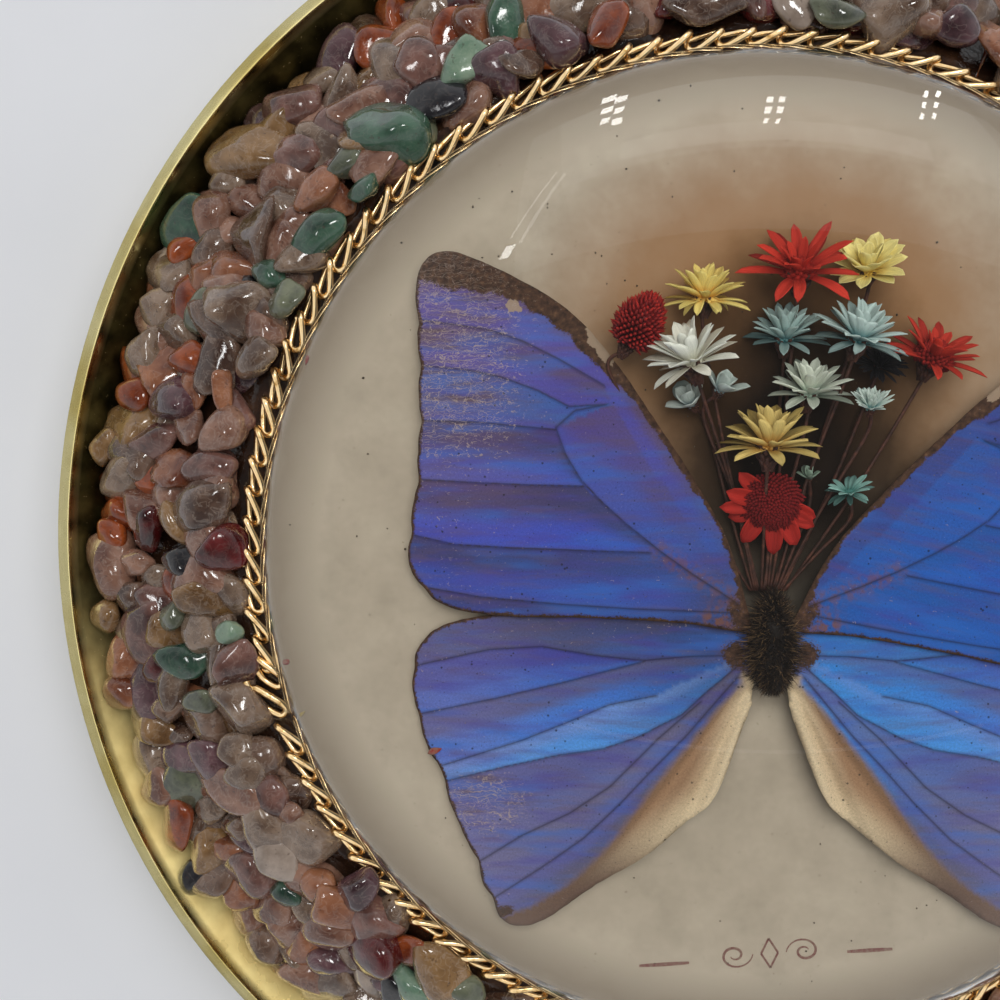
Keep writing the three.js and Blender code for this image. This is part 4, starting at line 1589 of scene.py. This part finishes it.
def petal(length, width, open_foot, open_tip, rows=9, columns=5):
    """A pointed, slightly cupped petal that leaves the origin along +Z and opens towards +X."""
    along = np.linspace(0, 1, rows)
    angle = np.radians(open_foot + (open_tip - open_foot) * along + rng.normal(0, 3))
    step = length / (rows - 1)
    x = np.concatenate([[0], np.cumsum(np.sin(angle[1:]) * step)])
    z = np.concatenate([[0], np.cumsum(np.cos(angle[1:]) * step)])
    swell = 0.3 + 0.7 * np.sin(np.clip(along / 0.6, 0, 1) * np.pi / 2)
    taper = np.clip(1 - np.clip((along - 0.45) / 0.55, 0, 1) ** 3.2, 0, 1) ** 0.62
    half = width / 2 * swell * np.maximum(taper, 0.03)
    across = np.linspace(-1, 1, columns)
    cup = 0.45 * half[:, None] * across**2
    inwards = np.stack([-np.cos(angle), 0 * angle, np.sin(angle)], axis=1)
    sway = rng.normal(0, 0.09) * length * along**2
    middle = np.stack([x, sway, z], axis=1)
    points = middle[:, None] + inwards[:, None] * cup[:, :, None]
    points[:, :, 1] += half[:, None] * across
    spread = np.stack(np.broadcast_arrays(along[:, None], across[None]), axis=2)
    return points.reshape(-1, 3), spread.reshape(-1, 2), grid_faces(rows, columns)


def spin_z(points, angle):
    cosine, sine = math.cos(angle), math.sin(angle)
    return points @ np.array([[cosine, sine, 0], [-sine, cosine, 0], [0, 0, 1]])


def petal_finish(name, tones, is_matt):
    """Dried dyed petals: darker at the foot, with fine streaks. The far colour is painted shade on
    petals turned down towards the card, and the colour of the outer petals' darkened backs.
    """
    foot, tip, far = tones
    material, tree, shader = new_material("petals_" + name)
    parts = add(tree, "SeparateXYZ", Vector=stored(tree, "petal", "Vector"))
    along, across, tone = parts.outputs
    base = mix(tree, ramp(tree, along, [(0.08, 0.0), (0.5, 1.0)]), colour(foot), colour(tip))
    # Painted shade on petals turned down towards the card, and darkened backs of outer petals
    base = mix(tree, stored(tree, "far"), base, colour(far))
    grain = add(tree, "CombineXYZ", Y=along)
    plug(tree, grain.inputs["X"], calc(tree, "MULTIPLY", across, 5.0))
    plug(tree, grain.inputs["Z"], calc(tree, "MULTIPLY", tone, 40.0))
    streaks = add(tree, "TexNoise", Vector=grain.outputs[0], Scale=2.2, Detail=4.0)
    shade = ramp(tree, streaks.outputs["Fac"], [(0.3, 0.78), (0.6, 1.0)])
    base = mix(tree, 1.0, base, shade, "MULTIPLY")
    spread = calc(tree, "MULTIPLY_ADD", tone, 0.2, 0.8)
    value = add(tree, "CombineColor", Red=spread, Green=spread, Blue=spread)
    base = mix(tree, 1.0, base, value.outputs[0], "MULTIPLY")
    rough = 0.75 if is_matt else 0.5
    settle(tree, shader, Base_Color=base, Roughness=rough, Specular_IOR_Level=0.3)
    bump(tree, shader, streaks.outputs["Fac"], 0.05, 0.4)
    return material


def pressed(points):
    """Keeps petals between the card and the glass: they bend where they would touch."""
    low, high = CARD_TOP + LOWEST_PETAL, HIGHEST_PETAL
    room = 1.4
    z = points[:, 2]
    z = np.where(z > high - room, high - room + room * np.tanh((z - high + room) / room), z)
    z = np.where(z < low + room, low + room - room * np.tanh((low + room - z) / room), z)
    return np.column_stack([points[:, :2], z])


def pointed_scale(root, lean, size, tip):
    """A tiny five-sided pointed scale, and the faces between its corners."""
    corners = [(size * math.cos(a), size * math.sin(a), -size) for a in np.arange(5) * 2 * np.pi / 5]
    belly = [(x * 0.8, y * 0.8, size * 0.9) for x, y, _ in corners]
    shape = np.array([*corners, *belly, (0, 0, size * tip)]) @ turn_to(lean, rng.uniform(0, 6)).T
    faces = [[i, (i + 1) % 5, 5 + (i + 1) % 5, 5 + i] for i in range(5)]
    faces += [[5 + i, 5 + (i + 1) % 5, 10, 10] for i in range(5)]
    return shape + root, faces


def scale_tones(tip_share):
    tone = rng.uniform(0, 1)
    return np.array([[0.02, 0, tone]] * 5 + [[0.12, 0, tone]] * 5 + [[tip_share, 0, tone]])


def on_spiral(number, reach):
    """The place of one of the scales that follow each other in a sunflower's spiral."""
    return reach * math.cos(number * GOLDEN_TURN), reach * math.sin(number * GOLDEN_TURN)


def floret_disc(heap, radius, height, count, size):
    """A dome of tiny pointed florets, set in a spiral."""
    for k in range(count):
        share = math.sqrt((k + 0.5) / count)
        flat = radius * share
        top = height * (1 - share**2.2)
        root = np.array([*on_spiral(k, flat), top])
        slope = Vector((root[0] * 1.1, root[1] * 1.1, radius * 1.1 - 0.3 * flat))
        lean = slope.normalized() + Vector(rng.normal(0, 0.16, 3))
        points, faces = pointed_scale(root, lean, size, rng.uniform(1.6, 2.8))
        heap.add(points, faces, petal=scale_tones(0.22), back=0.0)


def bristly_cone(heap, radius, height, count, size):
    """A blunt cone covered with pointed scales that lean towards its tip."""
    core, core_faces = unit_sphere(3)
    half = np.array([radius, radius, height / 2])
    middle = np.array([0, 0, height / 2])
    tones = np.tile([0.1, 0.0, 0.2], (len(core), 1))
    heap.add(core * half * 0.94 + middle, core_faces, petal=tones, back=0.0)
    for k in range(count):
        up = -0.85 + 1.85 * (k + 0.5) / count
        flat = math.sqrt(max(1 - up * up, 0)) * (1 - 0.22 * up)
        outwards = np.array([*on_spiral(k, flat), up])
        lean = Vector(outwards) + Vector((0, 0, 0.7)) + Vector(rng.normal(0, 0.22, 3))
        points, faces = pointed_scale(outwards * half + middle, lean, size, rng.uniform(2.0, 4.2))
        heap.add(points, faces, petal=scale_tones(rng.uniform(0.2, 0.7)), back=0.0)


def calyx(heap, top, axis, radius):
    """The little cup of overlapping brown bracts under the petals."""
    lay = turn_to(axis)
    core, core_faces = unit_sphere(2)
    core = core * [radius * 0.17, radius * 0.17, radius * 0.3] - [0, 0, radius * 0.26]
    heap.add(core @ lay.T + top, core_faces)
    for k in range(BRACT_COUNT):
        up = k / BRACT_COUNT
        wide = radius * (0.08 + 0.13 * math.sin(up * 2))
        root = np.array([*on_spiral(k, wide), radius * 0.5 * (up - 1)])
        lean = root * [2, 2, 0] + [0, 0, radius * 0.4]
        points, faces = pointed_scale(root, lean, radius * 0.07, 2.4)
        heap.add(points @ lay.T + top, faces)


def add_whorls(heap, whorls, radius, back):
    """Petals in rings, from the outer one to the inner one."""
    for number, (count, length, width, open_foot, open_tip, *arc) in enumerate(whorls):
        first, last = (math.radians(a) for a in (arc[0] if arc else (0, 360)))
        for k in range(count):
            long, wide = rng.uniform(0.86, 1.12, 2) * radius
            points, spread, faces = petal(length * long, width * wide, open_foot, open_tip)
            turn = first + (last - first) * (k + 0.5 * number) / count + rng.normal(0, 0.12)
            points = spin_z(points + [radius * 0.08, 0, 0.04 * radius * number], turn)
            value = np.column_stack([spread, np.full(len(spread), rng.uniform(0, 1))])
            gone_dark = back * rng.uniform(0.2, 1) if number == 0 else 0
            heap.add(points, faces, petal=value, back=float(gone_dark))


def add_middle(heap, extras, radius):
    """What sits inside the petals: a disc of florets, a cone or a small tuft."""
    if "disc" in extras:
        wide, tall, count = extras["disc"]
        size = radius * (0.052 if count > 100 else 0.07)
        floret_disc(heap, wide * radius, tall * radius, count, size)
    elif "cone" in extras:
        wide, tall, count = extras["cone"]
        bristly_cone(heap, wide * radius, tall * radius, count, radius * 0.07)
    else:
        floret_disc(heap, radius * 0.2, radius * 0.12, 30, radius * 0.05)


def flower(name):
    """A flower head, with its foot, its axis and its radius for the stem."""
    facing, whorls, tones, extras = FLOWERS[name]
    node = "flower_" + name
    low, high = node_box(node)
    radius = (high[0] - low[0]) / 2
    heading, tilt = (math.radians(a) for a in facing)
    flat = math.cos(tilt)
    axis = np.array([math.cos(heading) * flat, math.sin(heading) * flat, math.sin(tilt)])
    foot = (low + high) / 2 - axis * radius * 0.42 - [0, 0, 0.5]
    heap = Heap()
    add_whorls(heap, whorls, radius, extras.get("back", 0))
    add_middle(heap, extras, radius)
    points, faces, values = heap.joined()
    points = points @ turn_to(axis).T
    # Painted shade for petals that turn down towards the card
    turned_down_shade = smooth(-points[:, 2] / radius, -0.35, 0.75)
    points = pressed(points + foot)
    values["far"] = np.maximum(turned_down_shade * 0.85, values.pop("back"))
    finish = petal_finish(name, tones, "disc" in extras)
    piece = place("head_" + name, points, faces, finish, [node], slot_for(name), values)
    thicken(piece)
    return piece, foot, axis, radius


def slot_for(name):
    """The slot name for a flower's colour: petal_ followed by the first word of its name."""
    return "petal_" + name.split("_")[0]


def thicken(piece):
    solidify = piece.modifiers.new("thickness", "SOLIDIFY")
    solidify.thickness = PETAL_SHEET * MM
    solidify.offset = 0


def stem_finish():
    material, tree, shader = new_material("dried_stem")
    where = place_in_object(tree)
    base = shades(tree, cloud(tree, where, 0.8, detail=4), (0.3, "22130e"), (0.6, "4b2a20"), (0.8, "6f4332"))
    settle(tree, shader, Base_Color=base, Roughness=0.65)
    bump(tree, shader, cloud(tree, where, 0.2), 0.03, 0.5)
    return material


def stem(name, order, count, foot, axis, radius, finish):
    """A thin stem that leaves the calyx, bends down to the card and runs to the tie."""
    start = foot - axis * radius * 0.2
    fanned = (order - (count - 1) / 2) * 0.2
    tie = np.array([BODY[0] + fanned, BODY[1] + BODY_HALF[1] - 0.6, CARD_TOP + 0.9])
    drop = start - axis * min(2.5, np.linalg.norm(start - tie) * 0.3)
    drop[2] = max(drop[2], CARD_TOP + 0.5)
    middle = drop * 0.5 + tie * 0.5 + [rng.normal(0, 0.25), 0, 0.1]
    middle[2] = max(min(middle[2], 15.4), CARD_TOP + 0.5)
    path = spline([start, drop, middle, tie], 9)
    thickness = STEM_THICKNESS / 2 * np.linspace(1.25, 0.85, len(path))
    heap = Heap()
    heap.add(*tube(path, thickness, 8))
    calyx(heap, foot + axis * radius * 0.08, axis, radius)
    points, faces, _ = heap.joined()
    return place("stalk_" + name, points, faces, finish, ["stem_" + name], "dried_stem")


def bouquet():
    finish = stem_finish()
    pieces = []
    for order, name in enumerate(FLOWERS):
        head, foot, axis, radius = flower(name)
        pieces += [head, stem(name, order, len(FLOWERS), foot, axis, radius, finish)]
    return pieces


# Printed mark: a dash on each side of a small scrolled ornament, all tilted by 4 degrees

MARK_MIDDLE = (768, 948)
DASHES = [((664, 959), 50), ((867, 945), 45)]
MARK_TILT = math.radians(4)
INK_LIFT = 0.02


def strip(line, widths):
    """A flat ribbon along a line of (x, y) points."""
    along = np.gradient(line, axis=0)
    across = np.stack([-along[:, 1], along[:, 0]], axis=1)
    across /= np.linalg.norm(across, axis=1)[:, None]
    half = np.asarray(widths)[:, None] / 2
    flat = np.stack([line - across * half, line + across * half], axis=1).reshape(-1, 2)
    return flat, grid_faces(len(line), 2)


def printed_mark():
    heap = Heap()

    def draw(line, widths, middle):
        flat, faces = strip(np.asarray(line, float), widths)
        cosine, sine = math.cos(MARK_TILT), math.sin(MARK_TILT)
        flat = flat @ np.array([[cosine, sine], [-sine, cosine]]) + middle[:2]
        heap.add(np.column_stack([flat, np.full(len(flat), CARD_TOP + INK_LIFT)]), faces)

    for pixel, length in DASHES:
        half = length / PIXELS_PER_MM / 2
        line = [(x, 0) for x in np.linspace(-half, half, 9)]
        draw(line, 0.22 + 0.16 * np.sin(np.linspace(0.2, np.pi - 0.2, 9)), at_pixel(pixel, CARD_TOP))
    middle = at_pixel(MARK_MIDDLE, CARD_TOP)
    t = np.linspace(0, 1, 40)
    for side in (-1, 1):
        turn = t * 9
        curl = 1.5 * np.exp(-0.16 * turn)
        x = side * (3.3 - curl * np.cos(turn) * 1.15)
        y = side * curl * np.sin(turn) * 0.95
        draw(np.column_stack([x, y]), 0.10 + 0.16 * np.sin(np.pi * t), middle)
    diamond = np.array([(-0.8, 0), (0, 1.4), (0.8, 0), (0, -1.4), (-0.8, 0)])
    for a, b in zip(diamond[:-1], diamond[1:]):
        draw([a * (1 - k) + b * k for k in np.linspace(0, 1, 5)], [0.2] * 5, middle)
    points, faces, _ = heap.joined()
    ink = plain_print("faded_rose_ink", "8a5350")
    place("printed_mark", points, faces, ink, ["backing_card"], "aged_card")


# Loose bits on the card and on a wing: petal flakes and dust

FLAKES = [
    ("dry_red_flake", "8c2b26", (310, 361), 0.9, 0.3, 75, "card"),
    ("small_red_flake", "8c2b26", (290, 660), 0.8, 0.5, 20, "card"),
    ("yellow_flake", "b39a52", (305, 712), 0.7, 0.35, 40, "card"),
    ("wing_red_flake", "a0322e", (437, 748), 1.3, 0.45, 0, "wing"),
]
DUST_COUNT = 150


def loose_bits():
    for name, code, pixel, length, width, slant, on in FLAKES:
        height = CARD_TOP + 0.1
        if on == "wing":
            spot = on_wing([pixel], "hindwing")[0]
            height = wing_height(spot[0], "hindwing") + 0.15
        middle = at_pixel(pixel, height)
        points, faces = unit_sphere(3)
        points = tumbled(points) * [length / 2, width / 2, 0.08]
        points = spin_z(points, math.radians(slant)) + middle
        place(name, points, faces, plain_print(name, code), ["backing_card"], "petal_red")
    heap = Heap()
    speck, speck_faces = unit_sphere(1)
    for _ in range(DUST_COUNT):
        angle = rng.uniform(0, 2 * np.pi)
        reach = CARD_RADIUS * 0.96 * math.sqrt(rng.uniform(0, 1))
        size = rng.uniform(0.05, 0.12)
        middle = [reach * math.cos(angle), reach * math.sin(angle), CARD_TOP + size * 0.4]
        heap.add(speck * size * rng.uniform(0.6, 1.3, 3) + middle, speck_faces)
    points, faces, _ = heap.joined()
    dust = plain_print("dark_dust", "2a221c")
    place("card_dust", points, faces, dust, ["backing_card"], "aged_card")


# Camera, floor and light

# The pixels at the middles of the ceiling lamps' reflections, and how those of one lamp's parts
# lie: steps across and down the picture
CEILING_LAMPS = [(613, 110), (774, 110), (930, 105)]
LAMP_COLUMN_STEP = 6
LAMP_ROW_STEP = 11

# What the room looks like from the side and from above: the height and the light there
ROOM = [(0.0, (0.6, 0.61, 0.62)), (0.5, (0.55, 0.56, 0.57)), (0.85, (0.12, 0.12, 0.12))]


def camera():
    data = bpy.data.cameras.new("photo_camera")
    data.sensor_width = SENSOR_WIDTH
    data.lens = SENSOR_WIDTH * FOCAL_PIXELS / PHOTO_SIZE
    data.clip_start = 0.005
    made = bpy.data.objects.new("photo_camera", data)
    made.matrix_world = Matrix.Translation(EYE * MM) @ AIM.to_4x4()
    bpy.context.scene.collection.objects.link(made)
    bpy.context.scene.camera = made


def floor():
    material, tree, shader = new_material("pale_floor")
    where = place_in_object(tree)
    base = shades(tree, cloud(tree, where, 30), (0.3, "f0f2f8"), (0.7, "f4f6fc"))
    settle(tree, shader, Base_Color=base, Roughness=0.6)
    half = 4.0
    mesh = bpy.data.meshes.new("floor")
    corners = [(-half, -half, 0), (half, -half, 0), (half, half, 0), (-half, half, 0)]
    mesh.from_pydata(corners, [], [(0, 1, 2, 3)])
    mesh.materials.append(material)
    made = bpy.data.objects.new("floor", mesh)
    bpy.context.scene.collection.objects.link(made)


def soft_light(name, place_at, aim_at, size, power, tint=(1, 1, 1), shown_in=(), along=None):
    """A lamp panel. It shows as a reflection only in the named pieces, and then lights only them."""
    data = bpy.data.lights.new(name, "AREA")
    data.shape = "RECTANGLE"
    data.size, data.size_y = size
    data.energy = power
    data.color = tint
    made = bpy.data.objects.new(name, data)
    back = (Vector(place_at) - Vector(aim_at)).normalized()
    side = Vector(along or (1, 0, 0))
    side = (side - back * side.dot(back)).normalized()
    made.matrix_world = Matrix((side, back.cross(side), back)).transposed().to_4x4()
    made.location = place_at
    made.visible_camera = False
    made.visible_glossy = bool(shown_in)
    made.visible_transmission = False
    if shown_in:
        group = bpy.data.collections.new("lit_by_" + name)
        for piece in shown_in:
            group.objects.link(piece)
        made.light_linking.receiver_collection = group
    bpy.context.scene.collection.objects.link(made)


def mirrored_place(pixel, distance=0.6):
    """Where a small lamp stands, in metres, for the dome to show its reflection at the pixel."""
    line = pillow_line(GLASS_RADIUS, GLASS_TOP - GLASS_BASE, GLASS_EDGE)[::-1]
    height = GLASS_TOP
    for _ in range(30):
        spot = at_pixel(pixel, height)
        radius = np.linalg.norm(spot[:2])
        height = 0.5 * height + 0.5 * np.interp(radius, line[:, 0], line[:, 1])
    beyond, before = (np.interp(radius + step, line[:, 0], line[:, 1]) for step in (0.3, -0.3))
    slope = (beyond - before) / 0.6
    normal = Vector((-slope * spot[0] / radius, -slope * spot[1] / radius, 1)).normalized()
    ray = (Vector(spot) - EYE).normalized()
    return Vector(spot) * MM + (ray - normal * 2 * ray.dot(normal)) * distance


def glint(name, start, end, width, radiance, glass_piece):
    """A thin lamp whose reflection in the dome runs from one pixel to another."""
    start, end = np.array(start, float), np.array(end, float)
    first, last = mirrored_place(start), mirrored_place(end)
    across = np.array([end[1] - start[1], start[0] - end[0]]) / np.linalg.norm(end - start)
    middle = (start + end) / 2
    to_side = across * width / 2
    wide = (mirrored_place(middle + to_side) - mirrored_place(middle - to_side)).length
    long = (last - first).length
    power = radiance * math.pi * wide * long
    places = ((first + last) / 2, (0, 0, GLASS_TOP * MM))
    soft_light(name, *places, (long, wide), power, (1, 1, 0.97), [glass_piece], last - first)


def glints(glass_piece):
    """Reflections in the dome: three ceiling lamps of three rows of two, a strip light, soft bands
    and a thin line low down."""
    for number, (x, y) in enumerate(CEILING_LAMPS):
        for row in range(3):
            for column in (-1, 1):
                across = x + column * LAMP_COLUMN_STEP - (row - 1) * 2
                spot = np.array([across, y + (row - 1) * LAMP_ROW_STEP])
                name = f"lamp_{number}_{row}_{'left' if column < 0 else 'right'}"
                glint(name, spot + [1, -3], spot + [-1, 3], 4, 16, glass_piece)
    glint("strip_end", (511, 245), (503, 258), 6, 12, glass_piece)
    glint("strip_left", (557, 173), (511, 240), 2.0, 3.5, glass_piece)
    glint("strip_right", (565, 173), (519, 242), 1.6, 2.5, glass_piece)
    glint("soft_band", (620, 152), (930, 152), 24, 0.8, glass_piece)
    glint("wide_haze", (520, 190), (1040, 190), 190, 0.5, glass_piece)
    glint("upper_haze", (560, 150), (1000, 150), 100, 0.5, glass_piece)
    glint("lower_line", (560, 724), (980, 724), 2.5, 0.7, glass_piece)


def studio_world():
    """A pale room that is darker straight overhead, so that the dome's top stays clear."""
    world = bpy.data.worlds.new("studio")
    world.use_nodes = True
    tree = world.node_tree
    where = add(tree, "SeparateXYZ", Vector=add(tree, "TexCoord").outputs["Generated"])
    plug(tree, tree.nodes["Background"].inputs["Color"], ramp(tree, where.outputs["Z"], ROOM))
    tree.nodes["Background"].inputs["Strength"].default_value = 0.8
    bpy.context.scene.world = world


def lights(metal, stones, sealed, blooms, glass_piece):
    studio_world()
    soft_light("overhead", (0.15, 0.25, 0.85), (0, 0, 0), (0.9, 0.9), 5.8, (1, 0.99, 0.97))
    soft_light("metal_sky", (-0.05, 0.1, 0.6), (0, 0, 0), (2.6, 2.6), 18.0, (1, 0.98, 0.94), metal)
    soft_light("wall_light", (0.4, 0.45, 0.35), (0, 0, 0), (0.4, 0.4), 1.9, (1, 0.98, 0.94), metal[:1])
    soft_light("stone_glint", (0.12, 0.3, 0.6), (0, 0, 0), (0.12, 0.09), 0.6, (1, 1, 0.98), [*stones, *metal])
    soft_light("stone_sparkle", (-0.22, 0.12, 0.6), (0, 0, 0), (0.06, 0.14), 0.3, (1, 1, 1), stones)
    soft_light("case_fill", (-0.05, 0.3, 0.65), (0, 0, 0), (0.4, 0.4), 1.2, (1, 0.99, 0.97), sealed)
    soft_light("bloom_fill", (-0.02, 0.05, 0.6), (0, 0, 0), (0.3, 0.3), 1.1, (1, 1, 0.96), blooms)
    glints(glass_piece)


dish_piece = dish()
glue()
chip_pieces = chips()
chain_piece = chain()
sealed_pieces = [card()]
printed_mark()
loose_bits()
wing_finish = [wing_top(), wing_under()]
for wing_name in ("forewing_left", "forewing_right", "hindwing_left", "hindwing_right"):
    kind_of_wing = wing_name.split("_")[0]
    sealed_pieces.append(wing(wing_name, kind_of_wing, wing_name.endswith("right"), wing_finish))
sealed_pieces.append(butterfly_body())
flower_pieces = bouquet()
sealed_pieces += flower_pieces
glass_piece = glass_dome()
camera()
floor()
lights([dish_piece, chain_piece], chip_pieces, sealed_pieces, flower_pieces, glass_piece)
bpy.context.scene.view_settings.view_transform = "Standard"
